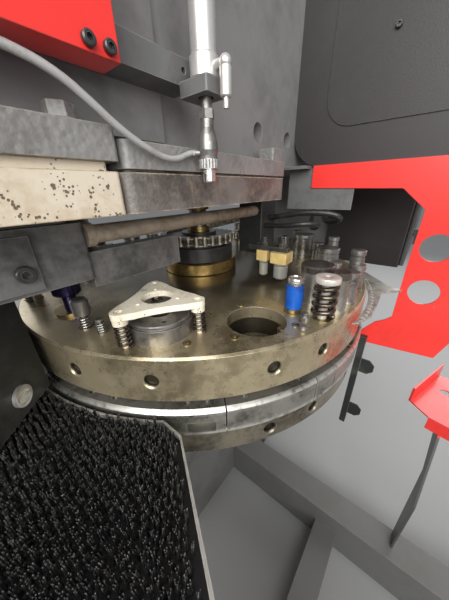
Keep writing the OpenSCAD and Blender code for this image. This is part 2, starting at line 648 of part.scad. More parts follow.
// Drive
// The place along the chain's loop, with the turret sprocket at the origin and the small one on +X
function on_loop(s) = s < big_arc
    ? let (a = 90 - wrap_turn + s / chain_pitch * 360 / turret_teeth) turret_pitch_r * [cos(a), sin(a)]
    : s < big_arc + strand
    ? let (t = (s - big_arc) / strand, a = wrap_turn - 90)
        (1 - t) * turret_pitch_r * [cos(a), sin(a)] + t * ([drive_c, 0] + drive_pitch_r * [cos(a), sin(a)])
    : s < big_arc + strand + small_arc
    ? let (a = wrap_turn - 90 + (s - big_arc - strand) / chain_pitch * 360 / drive_teeth)
        [drive_c, 0] + drive_pitch_r * [cos(a), sin(a)]
    : let (t = (s - big_arc - strand - small_arc) / strand, a = 90 - wrap_turn)
        (1 - t) * ([drive_c, 0] + drive_pitch_r * [cos(a), sin(a)]) + t * turret_pitch_r * [cos(a), sin(a)];
function link_end(i) = on_loop((((i % chain_links) + chain_shift) % chain_links) * chain_pitch);
module link_shape(length, r) {
    for (x = [0, length]) translate([x, 0]) circle(r, $fn = 20);
    translate([0, -r * 0.72]) square([length, 2 * r * 0.72]);
}
module link(p, q, outer) translate(p) rotate(atan2(q[1] - p[1], q[0] - p[0])) {
    length = norm(q - p);
    if (outer) {
        for (z = [11.1, -11.1 - link_t]) translate([0, 0, z]) linear_extrude(link_t) link_shape(length, 10.5);
        for (x = [0, length]) translate([x, 0, -chain_half]) cylinder(r = link_pin_r, h = 2 * chain_half,
            $fn = 20);
    } else difference() {
        union() {
            for (z = [7.9, -7.9 - link_t]) translate([0, 0, z]) linear_extrude(link_t) link_shape(length,
                10.5);
            for (x = [0, length]) translate([x, 0, -8]) cylinder(r = roller_r, h = 16, $fn = 24);
        }
        for (x = [0, length]) translate([x, 0, -chain_half]) cylinder(r = roller_bore_r,
            h = 2 * chain_half, $fn = 20);
    }
}
module chain(z) at_turret() rotate(drive_angle) translate([0, 0, z])
    for (i = [0:chain_links - 1]) link(link_end(i), link_end(i + 1), i % 2 == 0);
module upper_chain() color([0.5, 0.47, 0.42]) chain(upper_chain_z);
module lower_chain() color([0.35, 0.33, 0.3]) chain(lower_chain_z);
module drive_shaft() color([0.45, 0.45, 0.45]) at_turret() translate(drive_at) {
    bevelled(drive_shaft_r, lower_arm_z - 70, upper_chain_z + 70, 2);
    for (z = [upper_chain_z, lower_chain_z]) difference() {
        union() {
            rotate(drive_angle + drive_phase) toothed(drive_teeth, drive_pitch_r, z - 6, z + 6);
            rod(48, z - 24, z + 24);
        }
        rod(drive_shaft_r, z - 25, z + 25);
    }
}
module turret_motor() color([0.13, 0.14, 0.15]) at_turret() translate(drive_at) difference() {
    union() {
        bevelled(motor_r, arm_low - 22, arm_low - play, 3);
        rod(66, arm_low - 112, arm_low - 22);
        for (a = [0:30:330]) rotate(a) box([60, -3, arm_low - 106], [72, 3, arm_low - 26]);
        bevelled(52, arm_low - 158, arm_low - 112, 4);
    }
    rod(drive_shaft_r + fit, arm_low - 159, upper_chain_z + 80);
}
module index_pin(z) translate([0, 0, z]) {
    rod_y(index_hole_r - 0.5, disc_r + 16, column_y - 20);
    translate([0, disc_r + 16, 0]) rotate([90, 0, 0]) cylinder(r1 = index_hole_r - 0.5,
        r2 = index_hole_r - 3, h = 8);
}
module upper_index_pin() color([0.7, 0.7, 0.7]) at_turret() index_pin(-upper_disc_h / 2);
module lower_index_pin() color([0.7, 0.7, 0.7]) at_turret() index_pin((lower_disc_low + lower_disc_top) / 2);
module index_cylinders() color([0.3, 0.31, 0.33]) at_turret()
    for (z = [-upper_disc_h / 2, (lower_disc_low + lower_disc_top) / 2]) translate([0, 0, z]) difference() {
        union() {
            rod_y(30, holder_r + 40, column_y - 30);
            translate([-45, column_y - 30, -38]) cube([90, 30, 76]);
            translate([-36, holder_r + 32, -32]) cube([72, 18, 64]);
        }
        rod_y(index_hole_r - 0.5 + slide_fit, holder_r + 20, column_y - 5);
    }

// Head side
module guide_rod() color([0.55, 0.45, 0.36]) at_turret() translate([guide_half - 12, 0, guide_high - 21]) {
    rod_y(15, guide_back, manifold_front);
    rod_y(19, guide_back, guide_back + 14);
}
module head_cover() color([0.78, 0.12, 0.13]) at_turret() difference() {
    box([arm_half + 65, arm_front, cover_low], [arm_half + 100, cover_back, cover_high]);
    box([arm_half + 60, arm_front + sheet_t, cover_low + sheet_t],
        [arm_half + 100 - sheet_t, cover_back - sheet_t, cover_high - sheet_t]);
}
module socket_screw(r) difference() {
    bevelled(r, 0, r * 1.1, 1);
    translate([0, 0, r * 0.5]) cylinder(r = r * 0.55, h = r, $fn = 6);
}
module socket_screws() color([0.3, 0.29, 0.28]) at_turret() {
    for (y = [cover_back - 31, cover_back - 11, arm_front + 30], z = [cover_low + 8, cover_high - 30])
        translate([arm_half + 100, y, z]) rotate([0, 90, 0]) socket_screw(6);
    translate([guide_half + 10, guide_back - 93, guide_low + 35]) rotate([0, 90, 0]) socket_screw(11);
    for (y = [guide_front + 30, guide_back - 20]) translate([-guide_half, y, guide_low + 45]) rotate([0,
        -90, 0]) socket_screw(11);
    for (x = [-60, 60], y = [carrier_back]) translate([x * 4, y, carrier_low + 24]) rotate([-90, 0, 0])
        socket_screw(9);
    translate([458, 211, 576]) rotate([90, 0, 0]) socket_screw(7);
}
module brackets() color([0.42, 0.43, 0.43]) at_turret() {
    // Bar beside the head, with the block that holds the air cylinder
    difference() {
        box([arm_half + 20, arm_front, 386], [arm_half + 65, unit_at[1] + 9, 418]);
        translate([arm_half + 65, unit_at[1] - 10, 404]) rod_x(4, -12, eps);
    }
    difference() {
        slab([arm_half + 65, unit_at[1] - 22, unit_low], [unit_at[0] + 22, unit_at[1] + 22,
            unit_low + 18], 3);
        translate(unit_at) rod(11, unit_low - 10, unit_low + 30);
    }
    // Angle that carries the red guard
    box([arm_half - 100, guard_y - 40, arm_low - 8.3], [plate_half, guard_y + 8, arm_low - play]);
    difference() {
        box([arm_half + 2, guard_y + play, 190], [430, guard_y + 8, arm_low - 8]);
        for (x = [330, 410]) translate([x, guard_y, 275]) rod_y(6, -eps, 9);
    }
}
module air_cylinder() color([0.78, 0.78, 0.76]) at_turret() translate(unit_at) {
    difference() {
        union() {
            bevelled(20, unit_low + 18, unit_low + 44, 2);
            rod(17.5, unit_low + 44, 700);
            bevelled(20, 700, 726, 2);
        }
        rod(8, unit_low + 10, 520);
    }
    // Elbow fitting on the lower cap
    translate([20, 0, unit_low + 30]) rod_x(6, -2, 16);
    translate([36, 0, 0]) {
        translate([0, 0, unit_low + 30]) sphere(8);
        bevelled(8, unit_low - 6, unit_low + 26, 1.5);
        rod(4, unit_low - 18, unit_low - 6);
    }
}
module sensor_head() color([0.66, 0.67, 0.67]) at_turret() translate(unit_at) difference() {
    union() {
        rod(7.9, 345, 500);
        translate([0, 0, 346]) cylinder(r = 11, h = 11, $fn = 6);
        rotate_extrude() polygon([[0, 300], [13, 300], [15, 307], [14.5, 317], [12.5, 326], [9.5, 335],
            [9, 346],
            [0, 346]]);
        rotate_extrude() polygon([[0, 282], [14.5, 282], [14.5, 296], [12.5, 300], [0, 300]]);
        for (a = [0:15:345]) rotate(a) translate([14.5, 0, 283]) cylinder(r = 1.2, h = 12, $fn = 6);
        // Barb that the cable is pushed onto
        rotate(228.1) translate([0, 0, 304]) rod_x(5, 10, 19.9);
    }
    rod(stop_r + slide_fit, 280, 322);
}
stop_r = 10;
module stop_pin() color([0.75, 0.75, 0.75]) at_turret() translate(unit_at) difference() {
    bevelled(stop_r, 264, 312, 1.5);
    box([-2, -stop_r - eps, 263], [2, stop_r + eps, 276]);
}
cable_points = [[311.45, -310.1, 304], [310.11, -311.59, 304], [308.65, -313.23, 304], [307.4, -321.5, 302],
    [308.4, -337, 296.5],
    [310.5, -354, 293.8], [312, -372, 295],
    [313, -392, 301], [314, -412, 309], [316, -436, 321], [318, -460, 336], [320, -484, 349], [320, -512,
        357.5],
    [318, -550, 361], [316, -600, 361.5], [314, -650, 361.5], [313, -680, 361], [312, -700, 362]];
module sensor_cable() color([0.5, 0.5, 0.5]) at_turret() swept(smooth(cable_points, 3), 4, 10);

// Right side
module drive_cover() color([0.07, 0.07, 0.08]) at_turret() {
    difference() {
        along_y(215, 700) translate([arm_half, arm_low]) rounded(640, 640, 90);
        along_y(230, 685) translate([arm_half + 15, arm_low + 15]) rounded(610, 610, 75);
        box([arm_half - eps, 400, arm_low + 200], [arm_half + 16, 520, arm_low + 320]);
    }
    along_y(211, 215) translate([arm_half + 90, arm_low + 90]) rounded(460, 460, 70);
}
door_hinge = [574, 1374];
module side_cabinet() color([0.14, 0.13, 0.13]) at_turret() {
    difference() {
        slab([arm_half + play, 700, -90], [565, 1382, arm_low - 12], 6);
        box([arm_half + 12, 740, -70], [565 + eps, 1340, arm_low - 32]);
    }
    for (z = [10.3, 190]) {
        translate([door_hinge[0], door_hinge[1], z]) cylinder(r = 8, h = 29.4);
        box([564, door_hinge[1] - 5, z], [door_hinge[0], door_hinge[1] + 5, z + 29.4]);
    }
    translate([door_hinge[0], door_hinge[1], -40]) cylinder(r = 4, h = 310);
}
module cabinet_door() color([0.3, 0.31, 0.32]) at_turret() {
    difference() {
        union() {
            slab([565.5, 716, -84], [583, 1364, arm_low - 18], 6);
            for (z = [-40, 220]) {
                translate([door_hinge[0], door_hinge[1], z]) cylinder(r = 8, h = 50);
                box([570, 1360, z], [578, door_hinge[1], z + 50]);
            }
        }
        translate([door_hinge[0], door_hinge[1], -50]) cylinder(r = 4 + fit, h = 400);
    }
    translate([583, 760, 60]) {
        rod_x(14, 0, 8);
        translate([8, -8, -50]) cube([10, 16, 64]);
    }
}
module red_guard() color([0.86, 0.1, 0.09]) at_turret() {
    g = guard_x;
    y = guard_y;
    difference() {
        along_y(y - sheet_t, y) polygon([[plate_half + 8, 251], [g - 14, 245], [g + 43, 195], [g + 41, 48],
            [g + 42, -110], [g + 26, -126], [g + 4, -140], [g - 26, -180], [g - 28, -223], [g + 88, -214],
            [g + 166, -207], [g + 190, -130], [g + 200, -60], [g + 200, arm_low], [plate_half + 8, arm_low]]);
        for (at = [[90, 104], [94, -17]]) translate([g + at[0], y, at[1]]) rod_y(35, -20, 20);
    }
    box([plate_half + 8, y, arm_low - sheet_t], [g + 200, y + 40, arm_low]);
    box([g + 196, y, -60], [g + 200, y + 40, arm_low - sheet_t]);
    // Lower bracket: a shelf with a skirt and a back wall, on a web that stands on the cross beam
    difference() {
        translate([0, 0, shelf_z - sheet_t]) linear_extrude(sheet_t) polygon([[g + 151, y - 5], [g + 203,
            y - 51],
            [g + 320, y - 75], [g + 320, y + 190], [g + 225, y + 190]]);
        translate([g + 245, y + 100, 0]) rod(14, shelf_z - 10, shelf_z + 10);
    }
    translate([0, 0, shelf_z]) linear_extrude(50) polygon([[g + 151, y - 5], [g + 156, y - 9], [g + 230,
        y + 190],
        [g + 225, y + 190]]);
    translate([0, 0, shelf_z - 44]) linear_extrude(40) polygon([[g + 203, y - 51], [g + 320, y - 75],
        [g + 320, y - 71],
        [g + 204, y - 47]]);
    along_x(g + 236, g + 242) polygon([[40, base_z + beam_h], [90, base_z + beam_h], [120, shelf_z - 180],
        [y + 60, shelf_z - sheet_t], [y - 40, shelf_z - sheet_t], [40, shelf_z - 260]]);
}
shelf_z = -380;

// Air supply
module air_manifold() color([0.1, 0.11, 0.1]) at_turret() {
    slab([130, manifold_front, 60], [215, 150, arm_low], 4);
    // Arm that carries the two filters, with their inlet fittings
    box([215, filter_y - 10, filter_top], [227, 100, filter_top + 12]);
    box([227, filter_y - 10, filter_top], [filter_x[1] + 20, filter_y + 10, filter_top + 12]);
    for (x = filter_x) translate([x, filter_y, filter_top + 12]) {
        cylinder(r = 10, h = 10, $fn = 6);
        cylinder(r = 6.5, h = 24);
    }
    for (z = [228, 256, 284]) translate([172, manifold_front, z]) rotate([90, 0, 0]) cylinder(r = 9,
        h = 8, $fn = 6);
}
filter_x = [262, 318];
filter_y = 2;
filter_top = 92;
filter_half = [17, 24];
module filter_bowls() color([0.8, 0.62, 0.28, 0.7]) at_turret() for (i = [0, 1]) translate([filter_x[i],
    filter_y, 0]) {
    h = filter_half[i];
    slab([-h, -h, 62], [h, h, filter_top - play], 3);
    bevelled(h - 2, 56, 62, 1);
    bevelled(h - 4, 14, 56, 5);
}
hose_a = [[215.8, 104, 170], [236, 104, 171], [275, 106, 178], [330, 110, 186], [392, 118, 186], [421,
    130, 176],
    [412, 152, 164], [378, 180, 158], [356, 208, 166], [348, 238, 200], [350, 258, 244], [352, 264, 275],
    [352, 264, 299.8]];
hose_b = [[215.8, 80, 148], [240, 80, 148], [290, 74, 152], [336, 78, 158], [362, 94, 158], [368, 120, 150],
    [352, 150, 140], [330, 180, 138], [316, 210, 152], [312, 238, 188], [320, 258, 238], [324, 264, 272],
    [324, 264, 299.8]];
module air_hoses() color([0.05, 0.05, 0.05]) at_turret() {
    swept(smooth(hose_a, 3), 8, 10);
    swept(smooth(hose_b, 3), 7, 10);
    for (p = [hose_a, hose_b]) translate(p[len(p) - 1]) rod(10.5, 0, 12.2);
}

// Nose
nose_in_x = 92;
nose_out_x = 186;
nose_face_y = -disc_r - 10;
nose_side_y = nose_face_y - 98;
nose_front_y = nose_side_y - 52;
latch_z = -60;
module nose_outline(grow) polygon([[nose_in_x + grow, nose_face_y + grow], [-nose_in_x - grow,
    nose_face_y + grow],
    [-nose_out_x - grow, nose_side_y], [-nose_out_x - grow, nose_front_y - grow],
    [nose_out_x + grow, nose_front_y - grow], [nose_out_x + grow, nose_side_y]]);
module nose_guard() color([0.15, 0.16, 0.16]) at_turret() difference() {
    translate([0, 0, brush_top + 8]) linear_extrude(guide_low - brush_top - 8) nose_outline(0);
    translate([0, 0, brush_top]) linear_extrude(guide_low - brush_top - 4) nose_outline(-sheet_t);
}
module guard_latch() color([0.72, 0.7, 0.62]) at_turret()
    translate([(nose_in_x + nose_out_x) / 2, (nose_face_y + nose_side_y) / 2, latch_z])
        rotate(atan2(nose_out_x - nose_in_x, nose_face_y - nose_side_y)) rotate([0, 90, 0]) {
            difference() {
                translate([0, 0, play]) cylinder(r = 19, h = 6);
                translate([0, 0, 3]) cylinder(r = 14, h = 6);
            }
            translate([-3, -13, 2]) cube([6, 26, 6]);
        }

// Base and tables
module base_beams() color([0.28, 0.28, 0.28]) at_turret() {
    hollow_beam_x(lower_half + play, rail_x + beam_w / 2, 0);
    hollow_beam_x(-rail_x - beam_w / 2, -lower_half - play, 0);
    hollow_beam_x(-rail_x - beam_w / 2, rail_x + beam_w / 2, front_y);
    for (s = [-1, 1]) {
        // Stretcher that carries the middle table
        box([s * table_leg_x - 40, front_y + beam_w + play, base_z], [s * table_leg_x + 40, -play,
            base_z + 100]);
        // Posts, rail beam and rail of a side table
        for (y = [0, front_y]) {
            box([s * rail_x - beam_w / 2, y, base_z + beam_h + play],
                [s * rail_x + beam_w / 2, y + beam_w, rail_high - rail_beam_h - play]);
            translate([s * rail_x, y + beam_w / 2, floor_z]) levelling_foot(45);
        }
        box([s * rail_x - beam_w / 2, front_y, rail_high - rail_beam_h], [s * rail_x + beam_w / 2, beam_w,
            rail_high]);
        box([s * rail_x - 14, front_y, rail_high + play], [s * rail_x + 14, beam_w, rail_high + rail_h]);
    }
    for (x = [-lower_half + 40, lower_half - 40], y = [-280, column_back - 80]) translate([x, y, floor_z])
        levelling_foot(40);
}
module levelling_foot(r) {
    cylinder(r = r, h = 8);
    cylinder(r = 13, h = foot_h - play);
}
module hollow_beam_x(x0, x1, y) difference() {
    box([x0, y, base_z], [x1, y + beam_w, base_z + beam_h]);
    box([x0 - eps, y + 8, base_z + 8], [x1 + eps, y + beam_w - 8, base_z + beam_h - 8]);
}
module table_outline(inset) difference() {
    polygon([[table_corner[0], table_corner[1] - inset], [table_half - inset, table_side_y - 1.3 * inset],
        [table_half - inset, table_front + inset], [-table_half + inset, table_front + inset],
        [-table_half + inset, table_side_y - 1.3 * inset], [-table_corner[0], table_corner[1] - inset]]);
    circle(table_r + inset, $fn = 128);
}
module middle_table() color([0.55, 0.54, 0.5]) at_turret() {
    difference() {
        translate([0, 0, bed_low - 60]) linear_extrude(bed_z - bed_low + 60 + 12) table_outline(0);
        translate([0, 0, bed_low - 61]) linear_extrude(61) table_outline(sheet_t);
        translate([0, 0, bed_z]) linear_extrude(20) table_outline(sheet_t);
    }
    for (x = [-table_leg_x, table_leg_x], y = [table_front + 90, -800]) {
        box([x - 40, y - 40, base_z + 100 + play], [x + 40, y + 40, bed_low + eps]);
        box([x - 70, y - 60, base_z + 100 + play], [x + 70, y + 60, base_z + 115]);
    }
}
module strips(y0, y1) for (y = [y0:strip_pitch:y1 - strip_w]) translate([-reach_x, y])
    square([2 * reach_x, strip_w]);
module table_brushes() color([0.06, 0.06, 0.06]) at_turret() translate([0, 0, bed_z]) linear_extrude(brush_h)
    intersection() {
        strips(table_front + 12, table_corner[1]);
        table_outline(sheet_t + 2);
    }
side_front = table_front - 140;
side_back = -800;
module side_outline(s, inset) translate([s > 0 ? side_in + inset : -reach_x + inset, side_front + inset])
    square([reach_x - side_in - 2 * inset, side_back - side_front - 2 * inset]);
module side_tables() color([0.55, 0.54, 0.5]) at_turret() for (s = [-1, 1]) {
    difference() {
        translate([0, 0, bed_low - 40]) linear_extrude(bed_z - bed_low + 52) side_outline(s, 0);
        translate([0, 0, bed_low - 41]) linear_extrude(41) side_outline(s, sheet_t);
        translate([0, 0, bed_z]) linear_extrude(20) side_outline(s, sheet_t);
    }
    for (y = [side_front + 60, side_back - 180]) difference() {
        box([s * rail_x - 35, y, rail_high + 4], [s * rail_x + 35, y + 110, bed_low - play]);
        box([s * rail_x - 14.4, y - eps, rail_high], [s * rail_x + 14.4, y + 111, rail_high + rail_h + 0.4]);
    }
}
module side_brushes() color([0.06, 0.06, 0.06]) at_turret() translate([0, 0, bed_z]) linear_extrude(brush_h)
    for (s = [-1, 1]) intersection() {
        strips(bridge_back + 12, side_back);
        side_outline(s, sheet_t + 6);
    }
module bridge() color([0.33, 0.34, 0.35]) at_turret() {
    difference() {
        slab([-reach_x, bridge_back - bridge_w, bridge_low], [reach_x, bridge_back, bridge_high], 3);
        box([-reach_x - eps, bridge_back - bridge_w + 12, bridge_low + 12],
            [reach_x + eps, bridge_back - 12, bridge_high - 12]);
    }
    for (s = [-1, 1], x = [side_in + 40, reach_x - 140])
        box([s > 0 ? x : -x - 80, bridge_back - bridge_w + 10, bed_z], [s > 0 ? x + 80 : -x,
            bridge_back - 10, bridge_low]);
    for (z = [bridge_low + 22, bridge_high - 42])
        box([-reach_x + 20, bridge_back, z], [reach_x - 20, bridge_back + 14, z + 20]);
}
clamp_x = [-350, 350];
jaw_z = brush_top + 1.5;
module x_carriage() color([0.45, 0.46, 0.47]) at_turret() {
    difference() {
        slab([-450, bridge_back + 10, bridge_low + 4], [450, bridge_back + 46, bridge_high + 20], 4);
        for (z = [bridge_low + 22, bridge_high - 42])
            box([-451, bridge_back, z - play], [451, bridge_back + 14 + play, z + 20 + play]);
    }
    for (x = clamp_x) translate([x, bridge_back + 46, 0]) difference() {
        along_x(-38, 38) polygon([[0, jaw_z], [110, jaw_z], [110, jaw_z + 6], [62, jaw_z + 8], [52,
            jaw_z + 20],
            [52, bridge_low + 70], [40, bridge_low + 90], [0, bridge_low + 90]]);
        along_x(-26, 26) polygon([[14, jaw_z + 14], [60, jaw_z + 14], [60, bridge_low + 80], [14,
            bridge_low + 80]]);
        translate([0, 34, jaw_z + 34]) rod_x(5 + fit, -39, 39);
    }
}
module clamp_jaws() color([0.62, 0.62, 0.6]) at_turret() for (x = clamp_x) translate([x, bridge_back + 46,
    0]) {
    along_x(-25.6, 25.6) polygon([[24, jaw_z + 44], [24, jaw_z + 24], [44, jaw_z + 15], [108, jaw_z + 12.5],
        [108, jaw_z + 16], [66, jaw_z + 28], [44, jaw_z + 46]]);
    translate([0, 34, jaw_z + 34]) rod_x(5, -37, 37);
}

// Small pieces by the right rim
module hanger_post() color([0.12, 0.12, 0.12]) at_turret() translate([guard_x, guard_y - sheet_t, 0]) {
    box([-24, -20, -590], [-4, 0, -196]);
    for (z = [-310, -515]) translate([10, -8, z]) rotate([90, 22.5, 0]) cylinder(r = 30, h = 4, $fn = 8);
}
// Flat guard of expanded metal round the rim, held by a tab on the red guard
module mesh_guard() color([0.6, 0.6, 0.6]) at_turret() translate([0, 0, mesh_z]) difference() {
    linear_extrude(3) difference() {
        polygon([[disc_r - 10, -100], [guard_x - 8, -76], [guard_x + 7, -30], [guard_x + 7, 139],
            [guard_x + 46, 180],
            [guard_x + 46, guard_y - sheet_t], [guard_x + 20, guard_y - sheet_t], [guard_x - 70, 313],
                [disc_r - 70, 290]]);
        circle(disc_r + 7, $fn = 128);
    }
    for (i = [0:15]) translate([mesh_x(i), -70 + 20 * i, -1]) rotate(mesh_turn(i)) scale([0.9, 1, 1])
        cylinder(r = 8, h = 5, $fn = 4);
}
mesh_z = -22;
function mesh_turn(i) = (-70 + 20 * i) / (disc_r + 16) * 57.3;
function mesh_x(i) = (disc_r + 18) * cos(mesh_turn(i));

c_frame();
head_plates();
turret_carrier();
machined_block();
ram_guide();
ram();
ram_cylinder();
upper_disc();
upper_shaft();
brass_collars();
upper_sprocket();
station_bushes();
seated_tools();
lifter_plate();
lifter_springs();
heavy_spring();
heavy_spring_cap();
blue_sleeve();
blue_tool_cap();
canister_large();
canister_small();
ram_tool();
lower_disc();
die_holders();
dies();
lower_shaft();
upper_chain();
lower_chain();
drive_shaft();
turret_motor();
upper_index_pin();
lower_index_pin();
index_cylinders();
guide_rod();
head_cover();
socket_screws();
brackets();
air_cylinder();
sensor_head();
stop_pin();
sensor_cable();
drive_cover();
side_cabinet();
cabinet_door();
red_guard();
air_manifold();
filter_bowls();
air_hoses();
nose_guard();
guard_latch();
base_beams();
middle_table();
table_brushes();
side_tables();
side_brushes();
bridge();
x_carriage();
clamp_jaws();
hanger_post();
mesh_guard();
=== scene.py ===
import json
import math
import bpy
import numpy as np
from mathutils import Matrix, Vector

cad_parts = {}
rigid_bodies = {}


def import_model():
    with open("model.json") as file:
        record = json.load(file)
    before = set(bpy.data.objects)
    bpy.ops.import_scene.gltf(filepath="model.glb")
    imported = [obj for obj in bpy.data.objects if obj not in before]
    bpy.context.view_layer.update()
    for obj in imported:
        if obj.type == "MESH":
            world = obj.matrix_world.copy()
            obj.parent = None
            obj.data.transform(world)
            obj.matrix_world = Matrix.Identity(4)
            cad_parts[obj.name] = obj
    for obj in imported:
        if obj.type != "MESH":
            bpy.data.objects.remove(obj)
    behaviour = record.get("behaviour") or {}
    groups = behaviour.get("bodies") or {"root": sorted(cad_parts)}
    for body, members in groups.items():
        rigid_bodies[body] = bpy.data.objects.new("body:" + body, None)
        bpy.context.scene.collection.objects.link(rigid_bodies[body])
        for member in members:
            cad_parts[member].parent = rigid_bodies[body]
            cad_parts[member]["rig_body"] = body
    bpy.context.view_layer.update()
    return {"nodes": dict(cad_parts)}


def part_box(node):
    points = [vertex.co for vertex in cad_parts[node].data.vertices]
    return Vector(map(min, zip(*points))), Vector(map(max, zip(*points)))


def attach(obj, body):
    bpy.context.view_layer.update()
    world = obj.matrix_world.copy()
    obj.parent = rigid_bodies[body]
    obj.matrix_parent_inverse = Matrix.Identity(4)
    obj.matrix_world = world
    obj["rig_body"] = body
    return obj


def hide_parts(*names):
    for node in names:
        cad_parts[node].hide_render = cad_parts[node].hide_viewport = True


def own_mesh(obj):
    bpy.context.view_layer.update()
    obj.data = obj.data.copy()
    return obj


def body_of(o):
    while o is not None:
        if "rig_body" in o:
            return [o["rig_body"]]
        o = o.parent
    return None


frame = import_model()

bl_info = {
    "name": "Turret punch press",
    "version": (1, 0, 0),
    "blender": (4, 5, 0),
    "location": "3D View > Sidebar > Press",
    "description": "Finishes and finer pieces of a turret punch press",
    "category": "Object",
}

# The turret axis and the upper disc's top face, in metres
AXIS_Y = 0.075
TOP = 1.1
AT = Vector((0, AXIS_Y, TOP))


def place(x, y, z):
    """A point given in millimetres from the middle of the upper disc's top face."""
    return AT + Vector((x, y, z)) / 1000


def on_disc(radius, degrees, z=0):
    """A point on the upper disc, radius and height in millimetres."""
    a = math.radians(degrees)
    return place(radius * math.cos(a), radius * math.sin(a), z)


# Stations of the tools that move: radius in millimetres and degrees
LIFTER = (444, -56.5)
HEAVY_SPRING = (507, -16)
BLUE_TOOL = (447, -18.6)

# Springs in metres, and the share of their height that is left when the tool is pressed down
LIFTER_COIL = {"outer": 0.0135, "wire": 0.0022, "height": 0.0474, "turns": 5}
LIFTER_COIL_ANGLES = (-92, 28, 148)
LIFTER_COIL_REACH = 0.079
LIFTER_COIL_FOOT = 0.0003
HEAVY_COIL = {"outer": 0.025, "wire": 0.0052, "height": 0.0784, "turns": 4}

# The heavy spring's foot over the disc, in millimetres
HEAVY_COIL_FOOT = 2.3

# Sides of a round wire, steps of a turned piece, and the angle in degrees under which its edges are smooth
WIRE_SIDES = 14
LATHE_STEPS = 56
SMOOTH_ANGLE = 35

# The middle table's mat in millimetres from the turret axis, with its slanted corners and its round cut
MAT_HALF_WIDTH = 690
MAT_FRONT = -1490
MAT_BACK = -455
MAT_CORNER = 366
MAT_SLANT = (105, 164)
MAT_EDGE = 5
MAT_ROUND_CUT = 566
SIDE_MAT_START = 754

# Bare margins of the mats in metres: left, front and right of the middle one, and all round the side ones
MIDDLE_MARGINS = (0.0048, 0.005, 0.0046)
SIDE_MARGIN = 0.006
RIGHT_TUFTS_START = 0.75

# A bristle tuft: blades, their spread as a share of the pitch, and in metres their height, radius at foot
# and tip, the zone at the tips that strays, and how unevenly they end
MIDDLE_BLADES = 4
SIDE_BLADES = 3
BLADE_SPREAD = 0.17
FIRST_BLADE_OFFSET = 0.02
TUFT_HEIGHT = 0.03
BLADE_FOOT = 0.0012
BLADE_TIP = 0.0008
TIP_ZONE = 0.004
TIP_UNEVEN = 0.0014

# The photograph's camera: its axes, its place, and its lens from a focal length in pixels of the 600 high
CAMERA_RIGHT = (0.7812, 0.6238, -0.0248)
CAMERA_UP = (-0.2455, 0.3433, 0.9066)
CAMERA_BACK = (0.5741, -0.7021, 0.4213)
CAMERA_AT = (0.6059, -0.6094 + AXIS_Y, 0.2524 + TOP)
CAMERA_SENSOR = 36
CAMERA_LENS = CAMERA_SENSOR * 236.64 / 600

# What the lamps are turned to
LAMPS_AIM = Vector((0.1, -0.2, 1.1))


# ---- Sizes and colours that a user would change

class PressSizes(bpy.types.PropertyGroup):
    tuft_pitch: bpy.props.FloatProperty(
        name="Tuft pitch", description="Distance between two bristle tufts of the middle table",
        default=0.0095, min=0.009, max=0.02, unit="LENGTH")
    side_pitch: bpy.props.FloatProperty(
        name="Side tuft pitch", description="Distance between two bristle tufts of the side tables",
        default=0.0125, min=0.011, max=0.02, unit="LENGTH")
    tuft_lean: bpy.props.FloatProperty(
        name="Tuft lean", description="How far the tips of the bristles stray",
        default=0.0016, min=0, max=0.004, unit="LENGTH")
    wire_steps: bpy.props.IntProperty(
        name="Wire steps", description="Steps in each turn of a spring", default=28, min=12, max=48)
    lamp_power: bpy.props.FloatProperty(
        name="Lamp power", description="Power of the large soft lamp",
        default=112, min=10, max=600, unit="POWER")


class PressColours(bpy.types.PropertyGroup):
    frame_grey: bpy.props.FloatVectorProperty(
        name="Frame grey", description="Paint of the frame", subtype="COLOR", size=3,
        default=(0.24, 0.237, 0.23))
    disc_brown: bpy.props.FloatVectorProperty(
        name="Disc brown", description="Oily steel of the upper disc", subtype="COLOR", size=3,
        default=(0.5, 0.42, 0.27))
    guard_red: bpy.props.FloatVectorProperty(
        name="Guard red", description="Enamel of the guards", subtype="COLOR", size=3,
        default=(0.85, 0.04, 0.032))
    block_beige: bpy.props.FloatVectorProperty(
        name="Block beige", description="Pitted face under the head", subtype="COLOR", size=3,
        default=(0.68, 0.6, 0.47))
    sleeve_blue: bpy.props.FloatVectorProperty(
        name="Sleeve blue", description="Rubber sleeve of the blue tool", subtype="COLOR", size=3,
        default=(0.01, 0.1, 0.46))


# ---- Shared effects: node groups that put out masks and heights

def group(name, numbers, outputs):
    """A new node group, the sockets that it is given and those that it puts out, all floats."""
    tree = bpy.data.node_groups.new(name, "ShaderNodeTree")
    for label, value in numbers:
        item = tree.interface.new_socket(name=label, in_out="INPUT", socket_type="NodeSocketFloat")
        item.default_value = value
    for label in outputs:
        tree.interface.new_socket(name=label, in_out="OUTPUT", socket_type="NodeSocketFloat")
    return tree, tree.nodes.new("NodeGroupInput").outputs, tree.nodes.new("NodeGroupOutput").inputs


def add(tree, kind, **values):
    """A node with its properties set."""
    node = tree.nodes.new(kind)
    for key, value in values.items():
        setattr(node, key, value)
    return node


def feed(tree, value, socket):
    """Sets a socket to a number, or links it to another socket."""
    if isinstance(value, (int, float)):
        socket.default_value = value
    else:
        tree.links.new(value, socket)


def calc(tree, operation, a, b=None):
    """A Math node fed by sockets or numbers; gives its output."""
    node = add(tree, "ShaderNodeMath", operation=operation)
    feed(tree, a, node.inputs[0])
    if b is not None:
        feed(tree, b, node.inputs[1])
    return node.outputs[0]


def noise(tree, vector, scale, detail=5, rough=0.55):
    """A noise texture; scale may be a socket."""
    node = add(tree, "ShaderNodeTexNoise")
    node.inputs["Detail"].default_value = detail
    node.inputs["Roughness"].default_value = rough
    tree.links.new(vector, node.inputs["Vector"])
    feed(tree, scale, node.inputs["Scale"])
    return node.outputs["Fac"]


